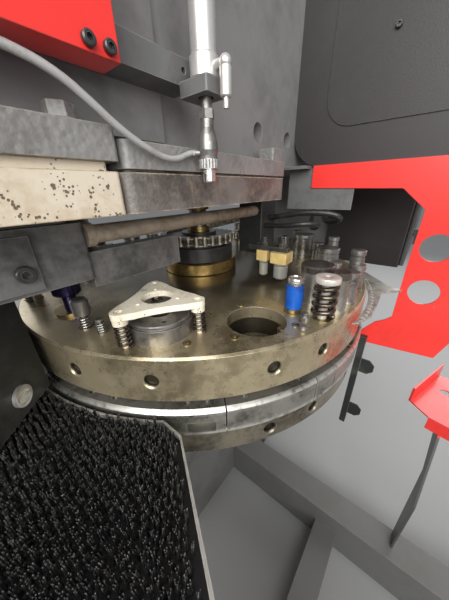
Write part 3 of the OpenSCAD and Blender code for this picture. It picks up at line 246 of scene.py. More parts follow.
def squeezed(tree, vector, scale):
    """The coordinates stretched by a Mapping node."""
    node = add(tree, "ShaderNodeMapping")
    node.inputs["Scale"].default_value = scale
    tree.links.new(vector, node.inputs["Vector"])
    return node.outputs["Vector"]


def window(tree, value, low, high):
    """0 under low, 1 over high, both of which may be sockets."""
    node = add(tree, "ShaderNodeMapRange", interpolation_type="SMOOTHSTEP")
    tree.links.new(value, node.inputs["Value"])
    feed(tree, low, node.inputs["From Min"])
    feed(tree, high, node.inputs["From Max"])
    return node.outputs["Result"]


def here(tree):
    """Object coordinates, which are the frame's own."""
    return add(tree, "ShaderNodeTexCoord").outputs["Object"]


def coordinates(tree):
    """X, Y and Z in metres."""
    parts = add(tree, "ShaderNodeSeparateXYZ")
    tree.links.new(here(tree), parts.inputs[0])
    return parts.outputs[0], parts.outputs[1], parts.outputs[2]


def from_axis(tree, x, y):
    """Distance from the turret axis."""
    y = calc(tree, "SUBTRACT", y, AXIS_Y)
    return calc(tree, "SQRT", calc(tree, "ADD", calc(tree, "MULTIPLY", x, x), calc(tree, "MULTIPLY", y, y)))


def oil_film():
    """Blotches of dark oil and dust."""
    tree, given, out = group("Oil film", [("Scale", 9), ("Cover", 0.5)], ["Mask"])
    blot = noise(tree, here(tree), given["Scale"], 6, 0.62)
    fine = noise(tree, here(tree), calc(tree, "MULTIPLY", given["Scale"], 9), 3)
    both = calc(tree, "ADD", calc(tree, "MULTIPLY", blot, 0.8), calc(tree, "MULTIPLY", fine, 0.2))
    edge = calc(tree, "SUBTRACT", 0.78, calc(tree, "MULTIPLY", given["Cover"], 0.5))
    mask = window(tree, both, calc(tree, "SUBTRACT", edge, 0.12), calc(tree, "ADD", edge, 0.1))
    tree.links.new(mask, out["Mask"])
    return tree


def scuffs():
    """Long thin scratches in two directions."""
    tree, given, out = group("Scuffs", [("Scale", 40), ("Cover", 0.5)], ["Mask"])
    along = noise(tree, squeezed(tree, here(tree), (0.06, 1.3, 1)), given["Scale"], 3)
    across = noise(tree, squeezed(tree, here(tree), (1.2, 0.08, 1.1)), given["Scale"], 3)
    most = calc(tree, "MAXIMUM", along, across)
    edge = calc(tree, "SUBTRACT", 0.86, calc(tree, "MULTIPLY", given["Cover"], 0.3))
    tree.links.new(window(tree, most, edge, calc(tree, "ADD", edge, 0.07)), out["Mask"])
    return tree


def pits():
    """Small sharp pits, as in a cast or spattered face."""
    tree, given, out = group("Pits", [("Scale", 120), ("Cover", 0.5)], ["Mask", "Height"])
    cell = add(tree, "ShaderNodeTexVoronoi")
    tree.links.new(here(tree), cell.inputs["Vector"])
    tree.links.new(given["Scale"], cell.inputs["Scale"])
    some = noise(tree, here(tree), calc(tree, "MULTIPLY", given["Scale"], 0.17), 2)
    size = calc(tree, "MULTIPLY", window(tree, some, 0.42, 0.72), given["Cover"])
    mask = window(tree, calc(tree, "SUBTRACT", size, cell.outputs["Distance"]), -0.06, 0.1)
    tree.links.new(mask, out["Mask"])
    tree.links.new(calc(tree, "MULTIPLY", mask, -1), out["Height"])
    return tree


def hammered():
    """The orange-peel skin of hammered paint or a rough casting."""
    tree, given, out = group("Hammered skin", [("Scale", 90), ("Grain", 0.4)], ["Height"])
    cell = add(tree, "ShaderNodeTexVoronoi", feature="SMOOTH_F1")
    tree.links.new(here(tree), cell.inputs["Vector"])
    tree.links.new(given["Scale"], cell.inputs["Scale"])
    fine = noise(tree, here(tree), calc(tree, "MULTIPLY", given["Scale"], 3), 4)
    grain = calc(tree, "MULTIPLY", fine, given["Grain"])
    tree.links.new(calc(tree, "ADD", cell.outputs["Distance"], grain), out["Height"])
    return tree


def rim_highlight():
    """Painted highlight, with some worn bare metal, along the upper and lower edges of a disc round the
    turret axis, at two heights.
    """
    numbers = [("Radius", 0.54), ("Low", 1.0), ("High", 1.1), ("Width", 0.006)]
    tree, given, out = group("Rim highlight", numbers, ["Mask"])
    x, y, z = coordinates(tree)
    far = from_axis(tree, x, y)
    width = given["Width"]
    rim = window(tree, far, calc(tree, "SUBTRACT", given["Radius"], width), given["Radius"])
    off_high = calc(tree, "ABSOLUTE", calc(tree, "SUBTRACT", z, given["High"]))
    off_low = calc(tree, "ABSOLUTE", calc(tree, "SUBTRACT", z, given["Low"]))
    near = calc(tree, "SUBTRACT", 1, window(tree, calc(tree, "MINIMUM", off_high, off_low), 0.0, width))
    broken = window(tree, noise(tree, here(tree), 60, 4), 0.32, 0.55)
    tree.links.new(calc(tree, "MULTIPLY", calc(tree, "MULTIPLY", rim, near), broken), out["Mask"])
    return tree


def worn_and_highlit_edges():
    """Edges worn bare, and on bright metal also a painted highlight along them: where a rounded normal
    turns away from the face's own.
    """
    tree, given, out = group("Worn and highlit edges", [("Radius", 0.002), ("Break", 40)], ["Mask"])
    bevel = add(tree, "ShaderNodeBevel", samples=6)
    tree.links.new(given["Radius"], bevel.inputs["Radius"])
    dot = add(tree, "ShaderNodeVectorMath", operation="DOT_PRODUCT")
    tree.links.new(bevel.outputs["Normal"], dot.inputs[0])
    tree.links.new(add(tree, "ShaderNodeNewGeometry").outputs["Normal"], dot.inputs[1])
    turned = window(tree, calc(tree, "SUBTRACT", 1, dot.outputs["Value"]), 0.025, 0.16)
    broken = window(tree, noise(tree, here(tree), given["Break"], 4), 0.3, 0.52)
    tree.links.new(calc(tree, "MULTIPLY", turned, broken), out["Mask"])
    return tree


def level_band():
    """All that lies between two heights, with a soft uneven border."""
    tree, given, out = group("Level band", [("Low", 0), ("High", 1), ("Soft", 0.004)], ["Mask"])
    low, high, soft = given["Low"], given["High"], given["Soft"]
    wobble = calc(tree, "MULTIPLY", calc(tree, "SUBTRACT", noise(tree, here(tree), 22, 4), 0.5), soft)
    z = calc(tree, "ADD", coordinates(tree)[2], calc(tree, "MULTIPLY", wobble, 2))
    over = window(tree, z, low, calc(tree, "ADD", low, soft))
    under = window(tree, z, calc(tree, "SUBTRACT", high, soft), high)
    tree.links.new(calc(tree, "MULTIPLY", over, calc(tree, "SUBTRACT", 1, under)), out["Mask"])
    return tree


def hub_darkening():
    """Darker round the turret axis, fading out towards the rim."""
    tree, given, out = group("Hub darkening", [("Inner", 0.25), ("Outer", 0.45)], ["Mask"])
    x, y = coordinates(tree)[:2]
    far = from_axis(tree, x, y)
    wobble = calc(tree, "MULTIPLY", calc(tree, "SUBTRACT", noise(tree, here(tree), 9, 5), 0.5), 0.3)
    edge = window(tree, calc(tree, "ADD", far, wobble), given["Inner"], given["Outer"])
    tree.links.new(calc(tree, "SUBTRACT", 1, edge), out["Mask"])
    return tree


def inner_hollow():
    """The walls of holes: what lies inside a radius round the turret axis and between two heights."""
    tree, given, out = group("Inner hollow", [("Radius", 0.53), ("Low", 1.0), ("High", 1.1)], ["Mask"])
    x, y, z = coordinates(tree)
    mask = calc(tree, "LESS_THAN", from_axis(tree, x, y), given["Radius"])
    mask = calc(tree, "MULTIPLY", mask, calc(tree, "GREATER_THAN", z, given["Low"]))
    mask = calc(tree, "MULTIPLY", mask, calc(tree, "LESS_THAN", z, given["High"]))
    tree.links.new(mask, out["Mask"])
    return tree


def runs():
    """Stains that have run down."""
    tree, given, out = group("Runs", [("Scale", 30), ("Cover", 0.5)], ["Mask"])
    streak = noise(tree, squeezed(tree, here(tree), (1, 1, 0.1)), given["Scale"], 4)
    edge = calc(tree, "SUBTRACT", 0.8, calc(tree, "MULTIPLY", given["Cover"], 0.4))
    tree.links.new(window(tree, streak, edge, calc(tree, "ADD", edge, 0.16)), out["Mask"])
    return tree


EFFECT_MAKERS = {
    "film": oil_film, "scuffs": scuffs, "pits": pits, "hammered": hammered, "rim": rim_highlight, "runs": runs,
    "edges": worn_and_highlit_edges, "band": level_band, "hub": hub_darkening, "hollow": inner_hollow,
}

# The groups made so far, by name
effects = {}


def effect(tree, name, **values):
    """Places a shared group in a material and sets its inputs."""
    if name not in effects:
        effects[name] = EFFECT_MAKERS[name]()
    node = add(tree, "ShaderNodeGroup", node_tree=effects[name])
    for key, value in values.items():
        node.inputs[key].default_value = value
    return node


class Finish:
    """One material, built up from a plain colour by layers of dirt, wear, painted highlight and painted
    shade, and relief.
    """

    def __init__(self, name, colour, rough=0.5, metal=0.0, coat=0.0):
        self.material = bpy.data.materials.new(name)
        self.material.use_nodes = True
        self.tree = self.material.node_tree
        self.shader = self.tree.nodes["Principled BSDF"]
        self.shader.inputs["Base Color"].default_value = (*colour, 1)
        self.shader.inputs["Roughness"].default_value = rough
        self.shader.inputs["Metallic"].default_value = metal
        if coat:
            self.shader.inputs["Coat Weight"].default_value = coat
            self.shader.inputs["Coat Roughness"].default_value = 0.12
        self.heights = []
        self.round = 0

    def layer(self, mask, colour, rough=None, strength=1.0):
        """Lets a colour, and a roughness if one is given, show where the mask is."""
        if strength != 1:
            mask = calc(self.tree, "MULTIPLY", mask, strength)
        self.mix("RGBA", "Base Color", mask, (*colour, 1))
        if rough is not None:
            self.mix("FLOAT", "Roughness", mask, rough)
        return self

    def mix(self, kind, label, mask, value):
        """Mixes a value into a shader socket by a mask."""
        node = add(self.tree, "ShaderNodeMix", data_type=kind)
        self.carry(label, node.inputs["A"])
        node.inputs["B"].default_value = value
        self.tree.links.new(mask, node.inputs["Factor"])
        self.tree.links.new(node.outputs["Result"], self.shader.inputs[label])

    def carry(self, label, target):
        """Passes on what feeds a shader socket so far."""
        socket = self.shader.inputs[label]
        if socket.links:
            self.tree.links.new(socket.links[0].from_socket, target)
        else:
            target.default_value = socket.default_value

    def oil(self, colour, rough=0.3, scale=9, cover=0.5, strength=1.0):
        """Blotches of oil or dust."""
        node = effect(self.tree, "film", Scale=scale, Cover=cover)
        return self.layer(node.outputs["Mask"], colour, rough, strength)

    def scratched(self, colour, rough=0.35, scale=40, cover=0.5, strength=0.6):
        """Long thin scratches."""
        node = effect(self.tree, "scuffs", Scale=scale, Cover=cover)
        return self.layer(node.outputs["Mask"], colour, rough, strength)

    def pitted(self, colour, scale=120, cover=0.5, depth=1.0, strength=1.0):
        """Small pits."""
        node = effect(self.tree, "pits", Scale=scale, Cover=cover)
        self.heights.append((node.outputs["Height"], depth))
        return self.layer(node.outputs["Mask"], colour, None, strength)

    def stained(self, colour, rough=None, scale=30, cover=0.5, strength=0.7):
        """Stains that have run down."""
        node = effect(self.tree, "runs", Scale=scale, Cover=cover)
        return self.layer(node.outputs["Mask"], colour, rough, strength)

    def rim_highlighted(self, colour, radius, low, high, width=0.006, rough=0.3):
        """Painted highlight, with some worn bare metal, along the upper and lower edges of a disc."""
        node = effect(self.tree, "rim", Radius=radius, Low=low, High=high, Width=width)
        return self.layer(node.outputs["Mask"], colour, rough)

    def edge_wear_and_highlight(self, colour, radius=0.002, rough=0.35, strength=0.8, scale=40):
        """A colour along the edges: worn bare metal, and on the bright metal parts also a painted
        highlight; and a rounded look on them.
        """
        self.round = radius * 0.6
        node = effect(self.tree, "edges", Radius=radius, Break=scale)
        return self.layer(node.outputs["Mask"], colour, rough, strength)

    def banded(self, colour, low, high, rough=None, strength=1.0, soft=0.004):
        """Another colour between two heights."""
        node = effect(self.tree, "band", Low=low, High=high, Soft=soft)
        return self.layer(node.outputs["Mask"], colour, rough, strength)

    def hubbed(self, colour, inner, outer, rough=None, strength=1.0):
        """Darker round the turret axis."""
        node = effect(self.tree, "hub", Inner=inner, Outer=outer)
        return self.layer(node.outputs["Mask"], colour, rough, strength)

    def shaded_holes(self, colour, radius, low, high, rough=0.4, strength=0.9):
        """Painted shade on the walls deep in the holes of a disc."""
        node = effect(self.tree, "hollow", Radius=radius, Low=low, High=high)
        return self.layer(node.outputs["Mask"], colour, rough, strength)

    def skin(self, scale=90, depth=0.5, grain=0.4):
        """A hammered or cast relief."""
        node = effect(self.tree, "hammered", Scale=scale, Grain=grain)
        self.heights.append((node.outputs["Height"], depth))
        return self

    def done(self, distance=0.0006):
        """Joins the heights into one bump and gives the material."""
        if self.heights:
            total = None
            for socket, depth in self.heights:
                part = calc(self.tree, "MULTIPLY", socket, depth)
                total = part if total is None else calc(self.tree, "ADD", total, part)
            bump = add(self.tree, "ShaderNodeBump")
            bump.inputs["Distance"].default_value = distance
            bump.inputs["Strength"].default_value = 1.0
            self.tree.links.new(total, bump.inputs["Height"])
            if self.round:
                bevel = add(self.tree, "ShaderNodeBevel", samples=4)
                bevel.inputs["Radius"].default_value = self.round
                self.tree.links.new(bevel.outputs["Normal"], bump.inputs["Normal"])
            self.tree.links.new(bump.outputs["Normal"], self.shader.inputs["Normal"])
        return self.material


# The materials, by name
finishes = {}


def make_finishes(colours):
    """Makes every material of the press.

    A finish starts with its colour, roughness, metal and coat. The numbers of an oil, scratched or stained
    layer are roughness, scale, cover and strength, and those of an edge layer (worn bare edges, on bright
    metal also a painted highlight) radius, roughness, strength and scale. A skin has scale, depth and
    grain, and done takes the depth of the whole relief.
    """
    f = finishes
    grey = tuple(colours.frame_grey)
    brown = tuple(colours.disc_brown)
    red = tuple(colours.guard_red)
    dust = (0.2, 0.18, 0.15)
    # Painted shade deep in the holes of the discs
    dark = (0.03, 0.025, 0.018)
    inside = 0.5375
    f["frame"] = (Finish("frame paint", grey, 0.42).oil((0.1, 0.099, 0.096), 0.5, 5, 0.45, 0.45)
        .scratched((0.34, 0.33, 0.31), 0.5, 14, 0.3, 0.4).stained((0.36, 0.35, 0.31), 0.6, 9, 0.35, 0.35)
        .edge_wear_and_highlight((0.3, 0.28, 0.24), 0.0025).skin(220, 0.25).done(0.0004))
    f["head"] = (Finish("hammered head paint", (0.25, 0.243, 0.232), 0.38)
        .oil((0.12, 0.114, 0.104), 0.5, 8, 0.42, 0.6).oil((0.26, 0.25, 0.22), 0.5, 19, 0.3, 0.5)
        .edge_wear_and_highlight((0.42, 0.38, 0.32), 0.003).skin(150, 1.0, 0.25).done(0.0014))
    f["casting"] = (Finish("carrier casting", (0.17, 0.157, 0.142), 0.42)
        .oil((0.05, 0.045, 0.038), 0.3, 12, 0.5, 0.8).oil((0.32, 0.27, 0.2), 0.45, 26, 0.36, 0.5)
        .scratched((0.4, 0.36, 0.3), 0.5, 14, 0.25, 0.4).edge_wear_and_highlight((0.62, 0.52, 0.38), 0.004, 0.5, 0.9, 30)
        .skin(210, 0.9, 0.7).done(0.0009))
    f["beige"] = (Finish("pitted beige", tuple(colours.block_beige), 0.62)
        .oil((0.42, 0.3, 0.17), 0.6, 14, 0.36, 0.6).pitted((0.1, 0.07, 0.04), 240, 0.5, 1.0, 0.9)
        .scratched((0.8, 0.76, 0.68), 0.6, 12, 0.4, 0.4).edge_wear_and_highlight((0.3, 0.22, 0.13), 0.003, 0.5, 0.8)
        .done(0.0009))
    f["guide"] = (Finish("guide casting", (0.15, 0.145, 0.138), 0.38)
        .oil((0.022, 0.021, 0.02), 0.25, 9, 0.45, 0.75).scratched((0.36, 0.34, 0.3), 0.4, 20, 0.3, 0.5)
        .edge_wear_and_highlight((0.36, 0.34, 0.3), 0.0025).skin(200, 0.5).done(0.0008))
    f["upper disc"] = (Finish("oily disc steel", brown, 0.3, 0.7)
        .oil((0.13, 0.097, 0.05), 0.2, 7, 0.42, 0.7).oil((0.62, 0.54, 0.38), 0.34, 21, 0.34, 0.5)
        # Darker round the turret axis, fading out towards the rim
        .hubbed((0.035, 0.027, 0.016), 0.24, 0.44, 0.16, 0.8)
        .scratched((0.7, 0.63, 0.48), 0.3, 16, 0.4, 0.45).pitted((0.05, 0.04, 0.025), 200, 0.3, 0.4, 0.7)
        # Pale edges round the bores: worn bare metal and a painted highlight
        .stained((0.1, 0.08, 0.05), 0.3, 26, 0.3, 0.5).edge_wear_and_highlight((0.92, 0.84, 0.66), 0.0022, 0.3, 0.95, 26)
        # Painted shade on the walls deep in the holes
        .shaded_holes(dark, inside, TOP - 0.072, TOP - 0.028).done(0.0004))
    f["holder"] = (Finish("holder steel", (0.36, 0.345, 0.3), 0.32, 0.75)
        .oil((0.06, 0.052, 0.04), 0.25, 11, 0.5, 0.8).scratched((0.68, 0.65, 0.6), 0.3, 22, 0.5, 0.6)
        # Painted highlight, with some worn bare metal, along the upper and lower rims of the holder ring
        .rim_highlighted((0.86, 0.84, 0.78), 0.552, TOP - 0.175, TOP - 0.117, 0.01)
        # Pale edges: worn bare metal and a painted highlight
        .edge_wear_and_highlight((0.85, 0.83, 0.78), 0.002, 0.3, 0.9).done(0.0004))
    f["die"] = (Finish("ground die steel", (0.5, 0.48, 0.44), 0.25, 0.9)
        .oil((0.09, 0.08, 0.06), 0.3, 16, 0.4, 0.6).scratched((0.75, 0.73, 0.7), 0.25, 30, 0.5, 0.5)
        .edge_wear_and_highlight((0.85, 0.84, 0.8), 0.0015).done(0.0003))
    f["lower disc"] = (Finish("lower disc steel", (0.3, 0.265, 0.2), 0.34, 0.7)
        .oil((0.08, 0.067, 0.045), 0.25, 9, 0.55, 0.8).scratched((0.55, 0.5, 0.42), 0.35, 18, 0.35, 0.5)
        # Pale edges round the bores: worn bare metal and a painted highlight
        .stained((0.06, 0.05, 0.03), 0.3, 24, 0.3, 0.5).edge_wear_and_highlight((0.85, 0.8, 0.68), 0.0025, 0.3, 0.9, 26)
        # Painted shade on the walls deep in the holes
        .shaded_holes(dark, inside, TOP - 0.235, TOP - 0.191).done(0.0004))
    f["cap"] = (Finish("pale worn cap", (0.62, 0.58, 0.52), 0.34, 0.3)
        .oil((0.25, 0.22, 0.18), 0.3, 26, 0.35, 0.6).scratched((0.8, 0.78, 0.74), 0.3, 40, 0.5, 0.5)
        .edge_wear_and_highlight((0.85, 0.82, 0.76), 0.001).done(0.0003))
    f["bright"] = (Finish("bright steel", (0.66, 0.64, 0.6), 0.24, 0.85)
        .oil((0.2, 0.17, 0.12), 0.3, 26, 0.35, 0.5).scratched((0.85, 0.84, 0.82), 0.3, 40, 0.5, 0.5)
        .edge_wear_and_highlight((0.9, 0.89, 0.86), 0.001).done(0.0003))
    f["worn steel"] = (Finish("worn steel", (0.34, 0.325, 0.3), 0.32, 0.8)
        .oil((0.08, 0.07, 0.056), 0.25, 20, 0.45, 0.75).scratched((0.6, 0.57, 0.52), 0.3, 34, 0.4, 0.5)
        .edge_wear_and_highlight((0.8, 0.76, 0.7), 0.0016, 0.3, 0.9).done(0.0003))
    f["canister"] = (Finish("greased canister steel", (0.4, 0.385, 0.36), 0.3, 0.75)
        .banded((0.075, 0.07, 0.062), TOP + 0.074, TOP + 0.12, 0.22, 0.85)
        .oil((0.2, 0.18, 0.12), 0.3, 16, 0.45, 0.6).scratched((0.62, 0.6, 0.56), 0.3, 34, 0.4, 0.5)
        .edge_wear_and_highlight((0.78, 0.76, 0.7), 0.0012).done(0.0003))
    f["lifter"] = (Finish("lifter steel", (0.92, 0.85, 0.68), 0.38, 0.1)
        .oil((0.42, 0.34, 0.2), 0.3, 17, 0.38, 0.55).scratched((0.82, 0.78, 0.68), 0.3, 26, 0.4, 0.5)
        .pitted((0.1, 0.07, 0.03), 260, 0.42, 0.5, 0.9).edge_wear_and_highlight((0.86, 0.8, 0.66), 0.002, 0.3, 0.9)
        .done(0.0004))
    f["spring"] = (Finish("oiled spring wire", (0.16, 0.13, 0.1), 0.26, 0.85)
        .oil((0.03, 0.024, 0.017), 0.2, 60, 0.5, 0.8).scratched((0.5, 0.42, 0.32), 0.3, 90, 0.4, 0.5)
        .skin(300, 0.15).done(0.0003))
    f["brass"] = (Finish("tarnished brass", (0.55, 0.38, 0.14), 0.3, 0.9)
        .oil((0.13, 0.085, 0.03), 0.3, 14, 0.5, 0.8).scratched((0.8, 0.64, 0.36), 0.25, 30, 0.4, 0.5)
        .edge_wear_and_highlight((0.9, 0.75, 0.42), 0.0015).done(0.0003))
    f["bush"] = (Finish("ground bore steel", (0.3, 0.29, 0.25), 0.28, 0.85)
        .banded((0.32, 0.23, 0.09), TOP - 0.045, TOP + 0.01, 0.3, 0.9, 0.002)
        .oil((0.1, 0.085, 0.05), 0.22, 13, 0.45, 0.7).scratched((0.6, 0.57, 0.5), 0.3, 30, 0.4, 0.5)
        .edge_wear_and_highlight((0.9, 0.84, 0.66), 0.0018, 0.3, 0.95).done(0.0003))
    f["black hub"] = (Finish("black hub", (0.025, 0.025, 0.026), 0.35)
        .oil((0.09, 0.075, 0.05), 0.3, 20, 0.4, 0.6).scratched((0.3, 0.27, 0.22), 0.35, 30, 0.3, 0.5)
        .edge_wear_and_highlight((0.3, 0.27, 0.22)).skin(260, 0.3).done(0.0004))
    f["chain"] = (Finish("chain steel", (0.42, 0.38, 0.3), 0.36, 0.8)
        .oil((0.06, 0.048, 0.03), 0.25, 45, 0.45, 0.8).scratched((0.7, 0.66, 0.58), 0.3, 60, 0.4, 0.5)
        .edge_wear_and_highlight((0.8, 0.74, 0.6), 0.001).done(0.0003))
    f["rod"] = (Finish("rusty rod", (0.42, 0.36, 0.28), 0.45, 0.25)
        .oil((0.19, 0.15, 0.1), 0.5, 14, 0.5, 0.8).oil((0.5, 0.43, 0.32), 0.4, 40, 0.36, 0.6)
        .skin(320, 0.3).done(0.0005))
    f["red"] = (Finish("red enamel", red, 0.33, 0, 0.25).oil((0.5, 0.03, 0.02), 0.5, 8, 0.3, 0.4)
        .scratched((0.8, 0.35, 0.3), 0.5, 14, 0.25, 0.35).stained((0.2, 0.025, 0.02), 0.5, 14, 0.25, 0.4)
        .edge_wear_and_highlight((0.2, 0.06, 0.05), 0.0025, 0.5, 0.6)
        .banded((0.09, 0.089, 0.087), -1, TOP - 0.43, 0.48, 1, 0.0005).skin(300, 0.2).done(0.0003))
    f["blackened"] = (Finish("blackened screws", (0.06, 0.06, 0.062), 0.36, 0.6)
        .oil((0.14, 0.12, 0.09), 0.35, 60, 0.35, 0.6).scratched((0.35, 0.34, 0.32), 0.3, 80, 0.4, 0.5)
        .edge_wear_and_highlight((0.4, 0.38, 0.35), 0.0012).done(0.0003))
    f["bracket"] = (Finish("bracket paint", (0.14, 0.14, 0.138), 0.42)
        .oil((0.06, 0.058, 0.05), 0.5, 14, 0.4, 0.6).scratched((0.34, 0.33, 0.3), 0.45, 20, 0.35, 0.5)
        .edge_wear_and_highlight((0.42, 0.4, 0.36)).skin(240, 0.3).done(0.0004))
    f["aluminium"] = (Finish("satin aluminium", (0.72, 0.71, 0.68), 0.36, 0.7)
        .oil((0.3, 0.27, 0.2), 0.4, 30, 0.3, 0.5).scratched((0.85, 0.84, 0.83), 0.3, 50, 0.45, 0.5)
        .edge_wear_and_highlight((0.4, 0.36, 0.3), 0.001).done(0.0003))
    f["sensor"] = (Finish("dull sensor metal", (0.3, 0.29, 0.275), 0.36, 0.7)
        .oil((0.09, 0.085, 0.07), 0.4, 34, 0.45, 0.7).scratched((0.6, 0.58, 0.54), 0.3, 60, 0.45, 0.5)
        .edge_wear_and_highlight((0.66, 0.64, 0.6), 0.001).done(0.0003))
    f["cable"] = (Finish("grey cable skin", (0.42, 0.41, 0.4), 0.55)
        .oil((0.14, 0.13, 0.11), 0.5, 40, 0.35, 0.5).skin(600, 0.3).done(0.0002))
    f["cover"] = (Finish("black cover paint", (0.03, 0.025, 0.025), 0.46)
        .oil((0.045, 0.041, 0.039), 0.6, 6, 0.4, 0.5).scratched((0.09, 0.085, 0.085), 0.5, 12, 0.25, 0.4)
        .edge_wear_and_highlight((0.14, 0.13, 0.13), 0.003).skin(420, 0.35, 0.8).done(0.0004))
    f["door"] = (Finish("door paint", (0.085, 0.087, 0.09), 0.45)
        .oil((0.04, 0.04, 0.04), 0.55, 7, 0.4, 0.5).scratched((0.24, 0.24, 0.24), 0.5, 14, 0.25, 0.4)
        .edge_wear_and_highlight((0.3, 0.3, 0.3)).skin(420, 0.35, 0.8).done(0.0004))
    f["manifold"] = (Finish("black casting", (0.022, 0.023, 0.022), 0.4)
        .oil((0.1, 0.09, 0.07), 0.4, 18, 0.35, 0.5).scratched((0.22, 0.21, 0.19), 0.4, 24, 0.3, 0.5)
        .edge_wear_and_highlight((0.24, 0.23, 0.2)).skin(260, 0.4).done(0.0005))
    f["bowl"] = (Finish("filter bowls", (0.26, 0.26, 0.23), 0.2)
        .banded((0.66, 0.48, 0.18), TOP + 0.061, TOP + 0.1, 0.3, 1, 0.0015)
        .oil((0.3, 0.24, 0.12), 0.3, 24, 0.4, 0.5).edge_wear_and_highlight((0.85, 0.76, 0.5), 0.0015, 0.3).skin(300, 0.2)
        .done(0.0003))
    f["hose"] = (Finish("black hose", (0.014, 0.014, 0.014), 0.4)
        .oil((0.07, 0.062, 0.05), 0.5, 40, 0.4, 0.5).skin(500, 0.4).done(0.0003))
    f["nose"] = (Finish("nose paint", (0.03, 0.03, 0.029), 0.4)
        .oil((0.09, 0.085, 0.075), 0.5, 12, 0.35, 0.6).scratched((0.28, 0.26, 0.23), 0.45, 18, 0.3, 0.5)
        .edge_wear_and_highlight((0.34, 0.32, 0.28)).skin(260, 0.5).done(0.0005))
    f["base"] = (Finish("base paint", (0.2, 0.198, 0.19), 0.48).oil((0.17, 0.16, 0.14), 0.6, 6, 0.4, 0.5)
        .scratched((0.3, 0.29, 0.27), 0.5, 10, 0.3, 0.4).stained(dust, 0.7, 8, 0.35, 0.4)
        .edge_wear_and_highlight((0.4, 0.38, 0.34), 0.003).skin(260, 0.4).done(0.0005))
    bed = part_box("table_brushes")[0][2]
    f["table"] = (Finish("table paint", (0.34, 0.33, 0.3), 0.5).oil((0.15, 0.14, 0.12), 0.55, 8, 0.4, 0.6)
        .scratched((0.5, 0.49, 0.46), 0.5, 16, 0.3, 0.4).edge_wear_and_highlight((0.62, 0.6, 0.54), 0.003)
        .banded((0.012, 0.012, 0.012), bed - 0.002, bed + 0.0025, 0.6, 1, 0.0005).skin(300, 0.3)
        .done(0.0004))
    f["bridge"] = (Finish("bridge paint", (0.12, 0.122, 0.125), 0.42)
        .oil((0.06, 0.06, 0.058), 0.5, 7, 0.4, 0.5).scratched((0.3, 0.3, 0.3), 0.45, 14, 0.3, 0.4)
        .edge_wear_and_highlight((0.34, 0.34, 0.34)).skin(320, 0.35).done(0.0004))
    f["purple"] = (Finish("heat-tinted steel", (0.055, 0.045, 0.13), 0.26, 0.8)
        .oil((0.02, 0.015, 0.03), 0.25, 22, 0.45, 0.7).scratched((0.3, 0.28, 0.4), 0.3, 40, 0.4, 0.5)
        .done(0.0003))
    f["blue"] = (Finish("blue rubber", tuple(colours.sleeve_blue), 0.36)
        .oil((0.005, 0.03, 0.15), 0.5, 40, 0.4, 0.6).scratched((0.3, 0.42, 0.7), 0.5, 60, 0.3, 0.4)
        .skin(400, 0.2).done(0.0003))
    f["mesh"] = (Finish("galvanised mesh", (0.5, 0.48, 0.43), 0.42, 0.6)
        .oil((0.12, 0.11, 0.09), 0.5, 30, 0.45, 0.7).edge_wear_and_highlight((0.8, 0.78, 0.72), 0.0015).skin(300, 0.5)
        .done(0.0004))
    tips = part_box("table_brushes")[1][2]
    f["bristle"] = (Finish("bristle tufts", (0.012, 0.012, 0.0122), 0.5)
        .oil((0.04, 0.039, 0.036), 0.6, 30, 0.5, 0.7)
        # Lighter grey tips and pale speckles on the tufts: dusty bristle ends and a painted highlight where
        # the tips catch the light
        .banded((0.14, 0.138, 0.128), tips - 0.0035, tips + 0.01, 0.4, 0.8, 0.003)
        .oil((0.5, 0.5, 0.47), 0.4, 150, 0.34, 0.7).skin(900, 1.0, 1.0).done(0.0012))
    f["strip"] = (Finish("bristle strips", (0.016, 0.016, 0.016), 0.6)
        .oil((0.035, 0.034, 0.03), 0.6, 30, 0.5, 0.7).skin(500, 0.6).done(0.0006))


NODE_FINISHES = {
    "frame": ["c_frame", "turret_motor", "ram_cylinder"],
    "head": ["head_plates"],
    "casting": ["turret_carrier"],
    "beige": ["machined_block"],
    "guide": ["ram_guide"],
    "bright": ["ram", "upper_index_pin", "lower_index_pin", "stop_pin", "blue_tool_cap", "clamp_jaws",
               "heavy_spring_cap"],
    "upper disc": ["upper_disc"],
    "holder": ["die_holders"],
    "die": ["dies"],
    "lower disc": ["lower_disc"],
    "worn steel": ["upper_shaft", "lower_shaft", "drive_shaft", "seated_tools"],
    "canister": ["canister_large", "canister_small"],
    "lifter": ["lifter_plate"],
    "brass": ["brass_collars"],
    "bush": ["station_bushes"],
    "black hub": ["upper_sprocket"],
    "spring": ["lifter_springs", "heavy_spring"],
    "blue": ["blue_sleeve"],
    "purple": ["ram_tool"],
    "chain": ["upper_chain", "lower_chain"],
    "bracket": ["brackets", "index_cylinders", "x_carriage"],
    "rod": ["guide_rod"],
    "red": ["head_cover", "red_guard"],
    "blackened": ["socket_screws"],
    "aluminium": ["air_cylinder", "guard_latch"],
    "sensor": ["sensor_head"],
    "cable": ["sensor_cable"],
    "cover": ["drive_cover", "side_cabinet"],
    "door": ["cabinet_door"],
    "manifold": ["air_manifold", "hanger_post"],
    "bowl": ["filter_bowls"],
    "hose": ["air_hoses"],
    "nose": ["nose_guard"],
    "base": ["base_beams"],
    "table": ["middle_table", "side_tables"],
    "bridge": ["bridge"],
    "mesh": ["mesh_guard"],
    "strip": ["table_brushes", "side_brushes"],
}


# ---- Modelling helpers

def clear_selection():
    """Deselects every object."""
    bpy.ops.object.select_all(action="DESELECT")


def pick(obj):
    """Selects one object alone and makes it the active one."""
    clear_selection()
    obj.select_set(True)
    bpy.context.view_layer.objects.active = obj


